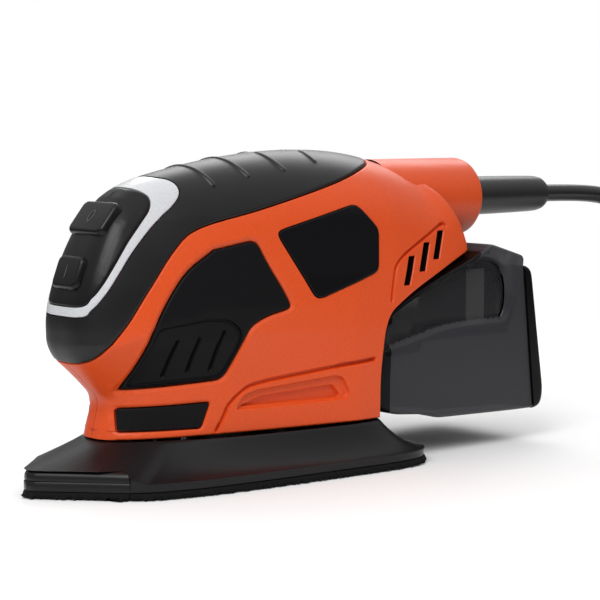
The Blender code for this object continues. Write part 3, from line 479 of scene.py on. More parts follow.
def plastic(name, colour, roughness, grain=0.0, grain_size=0.5, mottle=0.0, coat=0.0, flake=0.0,
            specular=0.5):
    """Moulded plastic: fine bump grain, slow roughness change and, on paint, tiny bright flakes.

    grain_size is in millimetres, and grain and mottle are strengths from 0 to 1.
    """
    material = bpy.data.materials.new(name)
    material.use_nodes = True
    tree = material.node_tree
    link = tree.links.new
    shader = tree.nodes["Principled BSDF"]
    shader.inputs["Base Color"].default_value = (*colour, 1)
    shader.inputs["Roughness"].default_value = roughness
    shader.inputs["Specular IOR Level"].default_value = specular
    shader.inputs["Coat Weight"].default_value = coat
    shader.inputs["Coat Roughness"].default_value = 0.18
    place = add_node(tree, "TexCoord").outputs["Object"]
    if grain:
        fine = add_node(tree, "TexNoise", Scale=1000 / grain_size, Detail=2)
        bump = add_node(tree, "Bump", Strength=grain, Distance=0.1 * grain_size * MM)
        link(place, fine.inputs["Vector"])
        link(fine.outputs["Fac"], bump.inputs["Height"])
        link(bump.outputs["Normal"], shader.inputs["Normal"])
    if mottle:
        slow = add_node(tree, "TexNoise", Scale=55, Detail=4)
        spread = add_node(tree, "MapRange", To_Min=roughness - 0.1 * mottle,
                          To_Max=roughness + 0.1 * mottle)
        link(place, slow.inputs["Vector"])
        link(slow.outputs["Fac"], spread.inputs["Value"])
        link(spread.outputs["Result"], shader.inputs["Roughness"])
    if flake:
        spots = add_node(tree, "TexVoronoi", Scale=3600)
        mix = add_node(tree, "Mix")
        mix.data_type = "RGBA"
        mix.inputs["A"].default_value = (*(c * (1 - flake) for c in colour), 1)
        mix.inputs["B"].default_value = (*(min(1, c * (1 + flake)) for c in colour), 1)
        link(place, spots.inputs["Vector"])
        link(spots.outputs["Color"], mix.inputs["Factor"])
        link(mix.outputs["Result"], shader.inputs["Base Color"])
    return material


def metal(name, colour, roughness):
    material = plastic(name, colour, roughness, grain=0.15, grain_size=0.3)
    material.node_tree.nodes["Principled BSDF"].inputs["Metallic"].default_value = 1
    return material


def smoked(name, colour, roughness, alpha):
    material = plastic(name, colour, roughness, grain=0.12, grain_size=0.6, mottle=0.4, specular=0.3)
    material.node_tree.nodes["Principled BSDF"].inputs["Alpha"].default_value = alpha
    return material


ORANGE = plastic("orange_shell", (0.73, 0.08, 0.011), 0.4, grain=0.35, grain_size=0.45, mottle=0.5,
                 flake=0.1, specular=0.35)
DEEP_BLACK = (0.0035, 0.0035, 0.0045)
GRIP = plastic("soft_grip", DEEP_BLACK, 0.38, grain=0.3, grain_size=0.35, mottle=0.4, specular=0.4)
INSERT = plastic("insert_grip", DEEP_BLACK, 0.5, grain=0.3, grain_size=0.35, mottle=0.3, specular=0.14)
SILVER = plastic("silver_trim", (0.6, 0.61, 0.63), 0.34, grain=0.2, grain_size=0.3, coat=0.2, flake=0.1)
BLACK = plastic("black_plastic", (0.0045, 0.0045, 0.0055), 0.3, grain=0.3, grain_size=0.4, mottle=0.4,
                specular=0.26)
BADGE = plastic("badge_plate", DEEP_BLACK, 0.3, grain=0.08, grain_size=0.5, specular=0.14)
BASE = plastic("base_plastic", (0.005, 0.005, 0.006), 0.36, grain=0.3, grain_size=0.45, mottle=0.5,
               specular=0.3)
SMOKE = smoked("smoke_plastic", (0.03, 0.0285, 0.034), 0.34, 0.88)
# more see-through smoke for the canister's sunken crease, darker than the smoke as painted shade of the
# recess
SHADED_PANE = smoked("pane_with_painted_shade", (0.012, 0.0115, 0.0135), 0.3, 0.78)
GLOSS = plastic("door_gloss", (0.003, 0.003, 0.0035), 0.24, specular=0.1)
HOOK = plastic("hook_fabric", (0.006, 0.006, 0.006), 0.95, grain=0.9, grain_size=0.8, specular=0.2)
JACKET = plastic("cord_jacket", (0.007, 0.007, 0.008), 0.32, grain=0.1, grain_size=0.4, mottle=0.3)
RUBBER = plastic("rubber", (0.007, 0.007, 0.008), 0.38, grain=0.2, grain_size=0.4, mottle=0.3)
MARK = plastic("symbol_mark", (0.05, 0.05, 0.055), 0.5)
STEEL = metal("steel", (0.6, 0.61, 0.63), 0.28)
COPPER = metal("copper_wire", (0.66, 0.28, 0.12), 0.34)
LAMINATION = metal("lamination", (0.24, 0.25, 0.26), 0.45)
# painted shade: black for the dark hollow seen inside the shell and through its vents
PAINTED_SHADE_INSIDE = plastic("painted_shade_inside", (0.004, 0.004, 0.004), 0.6, specular=0.1)
INNER = plastic("inner_plastic", (0.035, 0.035, 0.04), 0.5, grain=0.2)
FELT = plastic("filter_fabric", (0.55, 0.55, 0.56), 0.95, grain=0.8, grain_size=0.6)


# ---- body pieces ----
def claim(obj, body, slot, *nodes):
    """Put a piece on its CAD body and hide the CAD nodes it stands for; slot is not used."""
    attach(obj, body)
    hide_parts(*nodes)


def shown(name, part, material, slot, node):
    """Add a piece of the body's skin, standing for one CAD node."""
    points, faces, normals = part
    obj = add_mesh(name, points, faces, material, SMOOTH_ANGLE, normals)
    claim(obj, "body", slot, node)
    return obj


INSERT_SWEEP = curve(INSERT_ZONE[9:] + [(-48.1, 33.7)], 5)
INSERT_LOOP = resample(np.vstack([round_corners(INSERT_ZONE, 3.0)[5:45], INSERT_SWEEP]), 3)
LOWER_LOOP = rounded_loop(LOWER_INSERT_ZONE, 1.2)
BADGE_LOOP = rounded_loop(BADGE_ZONE, 2.2)
POCKET_LOOP = rounded_loop(POCKET_ZONE, 1.6)
SLOT_LOOP = rounded_loop(SLOT_ZONE, 1.2)
PANEL_LOOP = rounded_loop(PANEL_ZONE, 2.2)
GRIP_LOOP = np.vstack([GRIP_ZONE[:1], curve(GRIP_ZONE[1:-2], 8), GRIP_ZONE[-2:]])
TRIM_LOOP = np.vstack([curve(TRIM_OUTER[:-1], 8), [(-80, 120)]])
BEZEL_LOOP = np.vstack([curve(TRIM_INNER[:-1], 8), [(-80, 120)]])


def vent_loop(x, z):
    across, tall = VENT_SIZE[0] / 2, VENT_SIZE[1] / 2
    shift = tall * math.tan(math.radians(VENT_LEAN))
    corners = [(x - across - shift, z - tall), (x + across - shift, z - tall),
               (x + across + shift, z + tall), (x - across + shift, z + tall)]
    return resample(round_corners(corners, 0.5, 4), 2)


def groove(line, width, depth):
    """Engraved line as a feature: soft shoulders and a round bottom."""
    return (ribbon(line, width / 2), [(0.25, 0), (0.0, 0.25 * depth), (-0.35 * width, depth)])


def housing_features():
    recess = [(0.45, 0), (0.3, 0.1), (0.22, 0.5), (0.17, 2.1)]
    sloped = [(1.75, 0), (1.5, 0.16), (0.42, 0.62), (0.32, 0.75), (0.26, 2.1)]
    features = [
        (GRIP_LOOP, [(0.75, 0), (0.5, 0.07), (0.32, 0.28), (0.24, 0.7), (0.18, 2.1)]),
        (INSERT_LOOP, sloped),
        (LOWER_LOOP, sloped[1:]),
        (BADGE_LOOP, recess),
        (POCKET_LOOP, [(0.4, 0), (0.0, 0.25), (-0.45, 1.5), (-0.8, 1.8)]),
        (SLOT_LOOP, [(0.2, 0), (0.0, 0.2), (-0.2, 1.6), (-0.35, 1.8)]),
        groove(POCKET_GROOVE, 1.4, 1.6),
        groove(POCKET_GROOVE[-2:], 2.2, 0.7),
        groove(VENT_GROOVE, 1.3, 1.6),
    ]
    for x, z in VENT_CENTRES:
        features.append((vent_loop(x, z), [(0.5, 0), (0.3, 0.12), (0.12, 0.5)]))
    return features


def button_opening():
    """Opening under the switch surround, as a loop that hugs the nose."""
    low, high = SWITCH_OPENING_Z
    front = FRONT_CURVE[(FRONT_CURVE[:, 1] > low) & (FRONT_CURVE[:, 1] < high)]
    return np.vstack([front + (-6, 3), (front + (1.2, -0.6))[::-1]])


def add_housings():
    shell = body_surface(None, housing_features(), thickness=WALL + 1.2,
                         holes=[vent_loop(x, z) for x, z in VENT_CENTRES] + [button_opening()],
                         spacing=2.6, floor_round=0.8)
    boss_profile = [(BOSS_ROOT_X, BOSS_RADIUS), (BOSS_END_X - 3.4, BOSS_RADIUS),
                    (BOSS_END_X - 2.0, BOSS_RADIUS - 0.35), (BOSS_END_X - 0.9, BOSS_RADIUS - 1.2),
                    (BOSS_END_X - 0.2, BOSS_RADIUS - 2.4), (BOSS_END_X, BOSS_RADIUS - 3.6),
                    (BOSS_END_X, BOSS_BORE), (BOSS_END_X - WALL, BOSS_BORE),
                    (BOSS_END_X - WALL, BOSS_RADIUS - WALL), (BOSS_ROOT_X, BOSS_RADIUS - WALL)]
    steps = 33
    points = [(x, radius * math.cos(angle), BOSS_Z + radius * math.sin(angle))
              for x, radius in boss_profile for angle in np.linspace(-math.pi / 2, math.pi / 2, steps)]
    faces = [(a, a + 1, a + steps + 1, a + steps) for i in range(len(boss_profile) - 1)
             for a in range(i * steps, (i + 1) * steps - 1)]
    whole = seated(joined(shell, (np.array(points), faces, None), floor_plate()), SEAM)
    right = shown("housing_shell_right", whole, ORANGE, "orange_shell", "housing_right")
    left = shown("housing_shell_left", mirrored(whole), ORANGE, "orange_shell", "housing_left")
    # painted shade: black inside each shell and on its vents' walls
    for obj in (right, left):
        paint_inside_shade(obj, len(shell[0]))


def paint_inside_shade(obj, count):
    """Painted shade: black on the inside of the skin, whose points come first, and on the vents' walls,
    standing in for the dark hollow behind them.
    """
    obj.data.materials.append(PAINTED_SHADE_INSIDE)
    loops = [offset_loop(vent_loop(x, z), 0.3) for x, z in VENT_CENTRES]
    for face in obj.data.polygons:
        if max(face.vertices) >= count or max(face.vertices) < count // 2:
            continue
        spot = np.array([[face.center.x, face.center.z]]) / MM
        if min(face.vertices) >= count // 2 or any(inside(loop, spot)[0] for loop in loops):
            face.material_index = 1


def floor_plate():
    """The body's flat foot on the +Y side, with shaft and post holes, and the overhang's underside."""
    foot = FOOT_LINE[::-1]
    width = half_width(foot) - 0.8
    outline = np.vstack([np.stack([foot[:, 0], width], 1), [(foot[-1][0], 0), (foot[0][0], 0)]])
    turns = np.linspace(0, math.pi, 25)
    shaft = np.stack([SHAFT_HOLE_RADIUS * np.cos(turns), SHAFT_HOLE_RADIUS * np.sin(turns) - 0.01], 1)
    turns = np.linspace(0, math.tau, 21)[:-1]
    holes = [centre + POST_HOLE_RADIUS * np.stack([np.cos(turns), np.sin(turns)], 1)
             for centre in POST_CENTRES]
    lines = [(outline, True), (shaft, True)] + [(hole, True) for hole in holes]
    points, faces = triangulate(lines, [])[:2]
    middles = points[faces].mean(1)
    chosen = inside(outline, middles)
    for hole in [shaft] + holes:
        chosen &= ~inside(hole, middles)
    faces = faces[chosen]
    low = np.stack([points[:, 0], points[:, 1], np.full(len(points), BODY_FLOOR_Z)], 1)
    high = low + (0, 0, WALL)
    count = len(low)
    flat = [tuple(f[::-1]) for f in faces] + [tuple(f + count) for f in faces]
    wide = half_width(UNDER_CURVE) - 0.8
    strip = [(x, y, z) for (x, z), w in zip(UNDER_CURVE, wide) for y in (w, 0)]
    quads = [(2 * i, 2 * i + 1, 2 * i + 3, 2 * i + 2) for i in range(len(UNDER_CURVE) - 1)]
    return joined((np.vstack([low, high]), flat, None), (np.array(strip), quads, None))


def add_flank_pieces():
    slots = [groove(line, 1.5, 1.2) for line in PANEL_SLOTS]
    panel = (PANEL_LOOP, [(0.5, 0), (0.15, 0.9), (-0.3, 0.95), (-0.8, 0.5)])
    insert = body_surface(offset_loop(INSERT_LOOP, -0.05), [panel] + slots, lift=0.25, thickness=1.7,
                          spacing=2.2, edge_round=0.8)
    lower = body_surface(offset_loop(LOWER_LOOP, -0.05), lift=0.3, thickness=1.7, spacing=2.2,
                         edge_round=0.6)
    badge = body_surface(BADGE_LOOP, lift=-0.35, thickness=1.9, spacing=2.4, edge_round=0.5)
    for side in ("left", "right"):
        for name, part, material, slot, node in (
                ("insert_", insert, INSERT, "soft_grip", "side_grip_"),
                ("lower_insert_", lower, INSERT, "soft_grip", "front_insert_"),
                ("badge_", badge, BADGE, "black_plastic", "badge_plate_")):
            shown(name + side, mirrored(part) if side == "left" else part, material, slot, node + side)


def add_grip():
    raised = [(0.25, 0), (0.0, -0.16), (-0.35, -0.48), (-0.65, -0.52)]
    part = body_surface(GRIP_LOOP, [(ribbon(line, 0.85), raised) for line in RIBS],
                        holes=[offset_loop(TRIM_LOOP, 0.25)], spacing=2.6, edge_round=0.9)
    shown("top_grip_skin", joined(part, mirrored(part)), GRIP, "soft_grip", "top_grip")
    part = body_surface(TRIM_LOOP, holes=[offset_loop(BEZEL_LOOP, 0.2)], spacing=2.2, edge_round=0.45)
    shown("silver_band", joined(part, mirrored(part)), SILVER, "silver_trim", "silver_trim")


# ---- switch panel ----
OFF_BUTTON = {"centre": (-49.6, 90.2), "lean": 39.0, "length": 13.6, "width": 20.4, "proud": 2.2}
ON_BUTTON = {"centre": (-59.6, 72.9), "lean": 21.0, "length": 12.0, "width": 15.0, "proud": 2.1}
BUTTON_DEPTH = 7.5


def tilted_axes(spec):
    """Matrix whose X runs outwards from a tilted panel, Y across it and Z up along it."""
    lean = math.radians(spec["lean"])
    outward = Vector((-math.cos(lean), 0, math.sin(lean)))
    along = Vector((math.sin(lean), 0, math.cos(lean)))
    turn = Matrix((outward, Vector((0, 1, 0)), along)).transposed().to_4x4()
    return Matrix.Translation((spec["centre"][0], 0, spec["centre"][1])) @ turn


def rounded_box(low, high, corner, edge):
    """Box along X with rounded corners in the YZ plane and a rounded top edge, as a bmesh."""
    bm = bmesh.new()
    bmesh.ops.create_cube(bm, size=1)
    for vertex in bm.verts:
        vertex.co = Vector((low[k] + (high[k] - low[k]) * (vertex.co[k] + 0.5) for k in range(3)))
    upright = [e for e in bm.edges if abs(e.verts[0].co.x - e.verts[1].co.x) > 1e-6]
    bmesh.ops.bevel(bm, geom=upright, offset=corner, segments=4, profile=0.5, affect="EDGES")
    if edge:
        top = [e for e in bm.edges if all(abs(v.co.x - high[0]) < 1e-6 for v in e.verts)
               and abs(e.calc_face_angle(0)) > 0.5]
        bmesh.ops.bevel(bm, geom=top, offset=edge, segments=4, profile=0.5, affect="EDGES")
    return bm


def object_from(name, bm, material, place=None):
    """Object from a bmesh in millimetres, moved by a matrix in millimetres."""
    bmesh.ops.recalc_face_normals(bm, faces=bm.faces)
    if place is not None:
        bmesh.ops.transform(bm, matrix=place, verts=bm.verts)
    bmesh.ops.scale(bm, vec=(MM, MM, MM), verts=bm.verts)
    mesh = bpy.data.meshes.new(name)
    bm.to_mesh(mesh)
    bm.free()
    mesh.materials.append(material)
    mesh.shade_smooth()
    sharpen(mesh, SMOOTH_ANGLE)
    return linked(name, mesh)


def apply_modifiers(obj):
    bpy.context.view_layer.update()
    graph = bpy.context.evaluated_depsgraph_get()
    result = bpy.data.meshes.new_from_object(obj.evaluated_get(graph))
    obj.modifiers.clear()
    obj.data = result


def boolean(target, cutter, operation="DIFFERENCE"):
    """Cut a piece with another, or keep what they share; the cutter is used up."""
    modifier = target.modifiers.new("combine", "BOOLEAN")
    modifier.operation = operation
    modifier.solver = "EXACT"
    modifier.object = cutter
    apply_modifiers(target)
    bpy.data.objects.remove(cutter)


def smoothed(obj, voxel, rounds):
    """Even mesh with softened edges; voxel is in millimetres."""
    remesh = obj.modifiers.new("even", "REMESH")
    remesh.mode = "VOXEL"
    remesh.voxel_size = voxel * MM
    soften = obj.modifiers.new("soften", "SMOOTH")
    soften.factor = 0.5
    soften.iterations = rounds
    apply_modifiers(obj)
    obj.data.shade_smooth()


def edited(obj, action, kind, **options):
    """Run a bmesh action over all of an object's "verts" or "faces"."""
    bm = bmesh.new()
    bm.from_mesh(obj.data)
    action(bm, **{kind: getattr(bm, kind)}, **options)
    bm.to_mesh(obj.data)
    bm.free()
    return obj


def weld(obj):
    return edited(obj, bmesh.ops.remove_doubles, "verts", dist=1e-6)


def face_outwards(obj):
    return edited(obj, bmesh.ops.recalc_face_normals, "faces")


def raised_mark(outer, inner, low, high):
    """Prism along X over a loop of YZ points, or a tube where there is an inner loop too."""
    bm = bmesh.new()
    rings = [[[bm.verts.new((x, y, z)) for y, z in loop] for x in (low, high)]
             for loop in (outer, inner) if loop]
    outside = rings[0]
    for i in range(len(outer)):
        j = (i + 1) % len(outer)
        bm.faces.new((outside[0][i], outside[0][j], outside[1][j], outside[1][i]))
        if inner:
            hole = rings[1]
            bm.faces.new((hole[0][j], hole[0][i], hole[1][i], hole[1][j]))
            for edge, lip in zip(outside, hole):
                bm.faces.new((edge[i], edge[j], lip[j], lip[i]))
    if not inner:
        for ring in outside:
            bm.faces.new(ring)
    return bm


def ellipse(across, tall):
    turns = [math.tau * i / 32 for i in range(32)]
    return [(across * math.cos(turn), tall * math.sin(turn)) for turn in turns]


def add_button(name, node, body, spec, mark):
    """Push button with a tapered head, rounded edges and a thin raised switch symbol."""
    half_length, half_wide = spec["length"] / 2, spec["width"] / 2
    bm = rounded_box((spec["proud"] - BUTTON_DEPTH, -half_wide, -half_length),
                     (spec["proud"], half_wide, half_length), 2.6, 1.3)
    for vertex in bm.verts:
        share = max(0.0, vertex.co.x - spec["proud"] + 5) / 5
        vertex.co.y *= 1 - 0.05 * share
        vertex.co.z *= 1 - 0.06 * share
    place = tilted_axes(spec)
    button = object_from(name, bm, BLACK, place)
    claim(button, body, "black_plastic", node)
    symbol = raised_mark(*mark, spec["proud"] - 0.3, spec["proud"] + 0.12)
    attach(object_from(name + "_symbol", symbol, MARK, place), body)


def add_switch_panel():
    part = body_surface(BEZEL_LOOP, lift=0.12, thickness=2.6, spacing=1.8, edge_round=0.5)
    points, faces = joined(part, mirrored(part))[:2]
    bezel = weld(add_mesh("switch_surround", points, faces, BLACK))
    for spec, margin in ((OFF_BUTTON, 2.0), (ON_BUTTON, 1.2)):
        half_length, half_wide = spec["length"] / 2 + margin, spec["width"] / 2 + margin
        window = rounded_box((-7, -half_wide, -half_length), (9, half_wide, half_length), 3.2, 0)
        boolean(bezel, object_from("window", window, BLACK, tilted_axes(spec)))
    smoothed(bezel, 0.42, 3)
    claim(bezel, "body", "black_plastic", "switch_bezel")
    add_button("off_key_cap", "off_button", "off_key", OFF_BUTTON,
               (ellipse(1.5, 2.5), ellipse(0.95, 1.95)))
    add_button("on_key_cap", "on_button", "on_key", ON_BUTTON, (ellipse(0.3, 2.5), None))


# ---- base ----
BASE_HALF_PLAN = [(-78, 0), (-77.2, 2.6), (-75.4, 4.8), (-66, 14.4), (-56, 25.2), (-51.5, 28.8),
                  (-44, 32.2), (-30, 35.6), (-8, 38.2), (20, 40.2), (45, 41.8), (58, 41.2),
                  (66, 37.8), (70.5, 31), (72.5, 16), (73, 0)]
RIM_HALF_PLAN = [(-52.6, 0), (-51.4, 6), (-47, 12), (-32, 20), (-15, 26.5), (12, 31), (32, 33.2),
                 (44, 33.2), (50, 31), (52.6, 25), (53.2, 12), (53.2, 0)]
SKIRT_TOP_Z = 16.6
EDGE_TOP_Z = 5.4
TIP_BACK_X = -55.0
TIP_TOP_Z = 9.2
TIP_GAP = 0.3
GROOVE_TOP_Z = 6.5
HOOK_TOP_Z = 2.0
BASE_FLOOR_Z = HOOK_TOP_Z + 0.35


def full_plan(half_plan):
    line = curve(half_plan, 8)
    return np.vstack([line, (line * (1, -1))[::-1][1:-1]])


def polar_point(outline, angle):
    """Point where a ray from the plan's origin leaves an outline."""
    direction = np.array([math.cos(angle), math.sin(angle)])
    edge = np.roll(outline, -1, 0) - outline
    divisor = direction[0] * edge[:, 1] - direction[1] * edge[:, 0]
    divisor = np.where(np.abs(divisor) < 1e-9, 1e-9, divisor)
    along = (outline[:, 0] * edge[:, 1] - outline[:, 1] * edge[:, 0]) / divisor
    share = (outline[:, 0] * direction[1] - outline[:, 1] * direction[0]) / divisor
    hit = (share > -1e-6) & (share < 1 + 1e-6) & (along > 0)
    return direction * along[hit].max()


def edge_top(x):
    """Height of the skirt's rolled edge: level, and climbing over the detail tip at the front."""
    return float(np.interp(x, (-62, -50), (9.3, EDGE_TOP_Z)))


def lofted(rings, cap=True):
    """Quads through rings of equal count: points and faces."""
    count = len(rings[0])
    faces = [(k + i, k + (i + 1) % count, k + count + (i + 1) % count, k + count + i)
             for k in range(0, (len(rings) - 1) * count, count) for i in range(count)]
    if cap:
        faces.append(tuple(range(count))[::-1])
        faces.append(tuple((len(rings) - 1) * count + i for i in range(count)))
    return np.vstack(rings), faces


def with_height(plan, z):
    return np.column_stack([plan, np.full(len(plan), z) if np.isscalar(z) else z])


def add_base():
    foot = resample(full_plan(BASE_HALF_PLAN), 1.6)
    angles = np.arctan2(foot[:, 1], foot[:, 0])
    rim_outline = full_plan(RIM_HALF_PLAN)
    top = np.array([polar_point(rim_outline, a) for a in angles])
    lip = np.array([edge_top(x) for x in foot[:, 0]])
    drawn = [offset_loop(foot, -amount) for amount in (0.9, 0.55, 0.4, 0.35, 0.3, 0.2, 0.08, 0.0)]
    straight = np.interp(foot[:, 0], (-60, -35), (0.9, 0.35))
    heights = [BASE_FLOOR_Z, BASE_FLOOR_Z + 0.15, BASE_FLOOR_Z + 0.5]
    heights += [lip - drop for drop in (1.15, 1.0, 0.75, 0.6, 0.3)]
    rings = [with_height(plan, np.broadcast_to(z, len(foot))) for plan, z in zip(drawn, heights)]
    for share in (0.004, 0.012, 0.03, 0.07, 0.13, 0.2, 0.3, 0.42, 0.54, 0.66, 0.76, 0.86, 0.94, 0.985,
                  1.0):
        rise = straight * share + (1 - straight) * share ** 2.2
        plan = foot + (top - foot) * share
        rings.append(with_height(plan, lip + (SKIRT_TOP_Z - lip) * rise - (0.15 if share == 1 else 0)))
    rings += [with_height(top * 0.94, z) for z in (SKIRT_TOP_Z - 0.25, 9.0)]
    skirt = add_mesh("base_skirt", *lofted(rings), BASE, 30)
    boolean(skirt, tip_space(TIP_BACK_X + TIP_GAP, TIP_TOP_Z + 0.1))
    sharpen(skirt.data, 30)
    claim(skirt, "platen", "black_plastic", "base_platen")
    add_tip(foot)
    add_hook_pads(foot)


def tip_space(back, top):
    """Block over the nose of the base, up to a back plane and a height."""
    return object_from("tip_space", rounded_box((-100, -60, -10), (back, 60, top), 0.2, 0), BASE)


def add_tip(foot):
    """Detail tip: an upper bar and a lower layer, with a deep groove between them."""
    drawn = ((0.5, BASE_FLOOR_Z), (0.1, BASE_FLOOR_Z + 0.25), (0.0, BASE_FLOOR_Z + 0.6), (0.0, 5.3),
             (0.25, 5.6), (1.5, 5.75), (1.5, 6.35), (0.5, 6.4), (0.2, 6.6), (0.1, 7.0), (0.3, 8.4),
             (0.8, 9.3), (1.6, 9.8), (2.6, 10.1))
    climb = np.interp(foot[:, 0], (-78, TIP_BACK_X), (-0.7, -0.9))
    rings = [with_height(offset_loop(foot, -amount), z + climb * (z > GROOVE_TOP_Z))
             for amount, z in drawn]
    tip = add_mesh("detail_tip_shell", *lofted(rings), BASE, 40)
    boolean(tip, tip_space(TIP_BACK_X, 30), "INTERSECT")
    sharpen(tip.data, 40)
    claim(tip, "platen", "black_plastic", "detail_tip")


def kept_side(loop, limit, front):
    """Part of a closed loop on one side of a line across the base, closed along that line."""
    keep = loop[:, 0] < limit if front else loop[:, 0] > limit
    start = int(np.argmax(keep & ~np.roll(keep, 1)))
    part = np.roll(loop, -start, 0)[np.roll(keep, -start)]
    part[[0, -1], 0] = limit
    return resample(part, 0.5)


def add_hook_pads(foot):
    """Hook-and-loop sheet with a ragged lower edge, in a front and a main piece."""
    random = np.random.default_rng(7)
    edge = resample(foot, 0.5)
    edge = edge[np.r_[True, np.linalg.norm(np.diff(edge, axis=0), axis=1) > 0.2]]
    for name, node, limit in (("hook_sheet_main", "hook_pad_main", TIP_BACK_X + TIP_GAP),
                              ("hook_sheet_tip", "hook_pad_tip", TIP_BACK_X)):
        outline = kept_side(edge, limit, name.endswith("tip"))
        outward = offset_loop(outline, 1.0) - outline
        free = np.abs(outline[:, 0] - limit) > 0.6
        rows = []
        for out, z, jag, drop in ((-0.1, HOOK_TOP_Z + 0.3, 0.1, 0.0), (0.15, 1.5, 0.3, 0.2),
                                  (-0.15, 0.75, 1.5, 0.7), (-1.4, 0.7, 0.9, 0.6), (-3.5, 0.45, 0.1, 0.2)):
            shift = out + jag * random.random(len(outline)) ** 2
            plan = outline + outward * np.where(free, shift, min(out, 0.0))[:, None]
            rows.append(with_height(plan, (z - drop * random.random(len(outline))).clip(0.02)))
        claim(add_mesh(name, *lofted(rows), HOOK, 60), "platen", "hook_fabric", node)


# ---- dust canister ----
CANISTER_PROFILE = [(51.4, 21), (52, 31.4), (53.4, 41.2), (55.2, 49.4), (58.6, 54.4),
                    (64.4, 57.8), (72.6, 61.4), (82.6, 65.2), (96.5, 70.2), (106.9, 74.6),
                    (109, 77), (127.8, 71.4), (131.6, 68.4), (139, 18), (137, 12), (123, 12.1),
                    (82, 13.2), (76, 15.2), (61, 16.6), (54, 18.6)]
CANISTER_HALF_WIDTH = 28.5
CANISTER_SPLIT = [(134.4, 0), (121.4, 120)]
CANISTER_ROUND = 1.5
CANISTER_WALL = 2.4
DOOR_GAP = 0.3
CREASE_ZONE = [(50, 38.6), (70, 42.4), (85, 45.6), (100, 46.6), (118.4, 46.3), (121.4, 52), (121.6, 60),
               (119.6, 66.6), (114.5, 71.2), (104, 73.2), (92, 71.2), (78, 65), (50, 50)]
SEAL_ZONE = [(57.4, 4), (57.6, 30), (58.6, 46), (61.6, 54.4), (69.5, 58.6), (82, 63.4), (97, 69.2),
             (104.5, 72.6), (108, 84), (150, 84), (150, 4)]
HOLLOW_PROFILE = (CANISTER_PROFILE[:11] + [(119.0, 74.8), (119.4, 66.8), (131, 65.8)]
                  + CANISTER_PROFILE[13:])
DOOR_PROFILE = [(95, 68.2), (131.7, 67.6), (139.3, 18), (137.3, 11.7), (123, 11.8), (95, 12.4)]
ARCH_LINE = [(92, 69.6), (101, 71.0), (110, 70.4), (116, 67), (118.6, 60), (118.2, 52.5), (116.4, 48.6)]


def slab(outline, features=(), edge_round=CANISTER_ROUND, half=CANISTER_HALF_WIDTH, spacing=4.0):
    """Closed solid between two flat sides with rounded edges and side features: points, faces."""
    lines = [(offset_loop(outline, -edge_round * s), True) for s in (0, 0.06, 0.2, 0.42, 0.7, 1.0)]
    first = len(lines)
    lines += profile_lines(features)
    points, faces, owners = triangulate(lines, grid_samples(outline, spacing, lines, 1.0))
    points, faces, owners = neat(points, faces, owners, inside(outline, points[faces].mean(1)))
    depth = relief(points, owners, features, first)[0]
    away = np.clip(edge_round + signed_distance(outline, points), 0, edge_round)
    depth = np.maximum(depth, 0) * (away < 1e-6) + fillet(edge_round, away)
    count = len(points)
    right = np.column_stack([points[:, 0], half - depth, points[:, 1]])
    left = right * (1, -1, 1)
    all_faces = [tuple(f[::-1]) for f in faces] + [tuple(f + count) for f in faces]
    all_faces += [(a, b, b + count, a + count) for a, b in open_edges(faces)]
    return np.vstack([right, left]), all_faces


def canister_part(far, gap):
    """Space on one side of the leaning split, out to a far X and a gap clear of the split."""
    (foot_x, foot_z), (head_x, head_z) = CANISTER_SPLIT
    prism = [(far, foot_z), (foot_x + gap, foot_z), (head_x + gap, head_z), (far, head_z)]
    points = np.array([(x, y, z) for y in (-60, 60) for x, z in prism])
    faces = [(0, 1, 2, 3), (7, 6, 5, 4), (0, 4, 5, 1), (1, 5, 6, 2), (2, 6, 7, 3), (3, 7, 4, 0)]
    return face_outwards(add_mesh("part", points, faces, SMOKE))


def add_canister():
    outline = rounded_loop(CANISTER_PROFILE, 3.2)
    crease = rounded_loop(CREASE_ZONE, 4)
    seal = rounded_loop(SEAL_ZONE, 3.0)
    features = [(seal, [(0.0, 0), (-0.4, 0.45)]),
                (crease, [(0.0, 0), (-0.5, 0.35), (-1.5, 1.45), (-2.3, 1.75)]),
                groove(ARCH_LINE, 1.4, 0.7)]
    can = add_mesh("canister_shell", *slab(outline, features), SMOKE, 40)
    inner = offset_loop(rounded_loop(HOLLOW_PROFILE, 2), -CANISTER_WALL)
    hollow = slab(inner, (), CANISTER_ROUND, CANISTER_HALF_WIDTH - 2.6, 6)
    boolean(can, add_mesh("hollow", *hollow, SMOKE))
    boolean(can, canister_part(0, 0.0), "INTERSECT")
    can.data.materials.append(GLOSS)
    can.data.materials.append(SHADED_PANE)
    window = offset_loop(crease, -2.0)
    cover = offset_loop(seal, -0.2)
    for face in can.data.polygons:
        spot = np.array([[face.center.x, face.center.z]]) / MM
        face.material_index = int(not inside(cover, spot)[0])
        # the flat faces sunk inside the crease take the darker pane: more see-through, with painted shade
        # of the recess
        if abs(face.normal.y) > 0.9 and inside(window, spot)[0]:
            face.material_index = 2
    sharpen(can.data, 40)
    claim(can, "dust_box", "smoke_plastic", "canister_body")
    lid = rounded_loop(DOOR_PROFILE, 4.5)
    door = add_mesh("canister_door_panel", *slab(lid, (), 2.0, CANISTER_HALF_WIDTH + 0.35, 6), GLOSS, 40)
    boolean(door, add_mesh("hollow", *hollow, GLOSS))
    boolean(door, canister_part(200, DOOR_GAP), "INTERSECT")
    sharpen(door.data, 40)
    claim(door, "dust_door", "black_plastic", "canister_door")


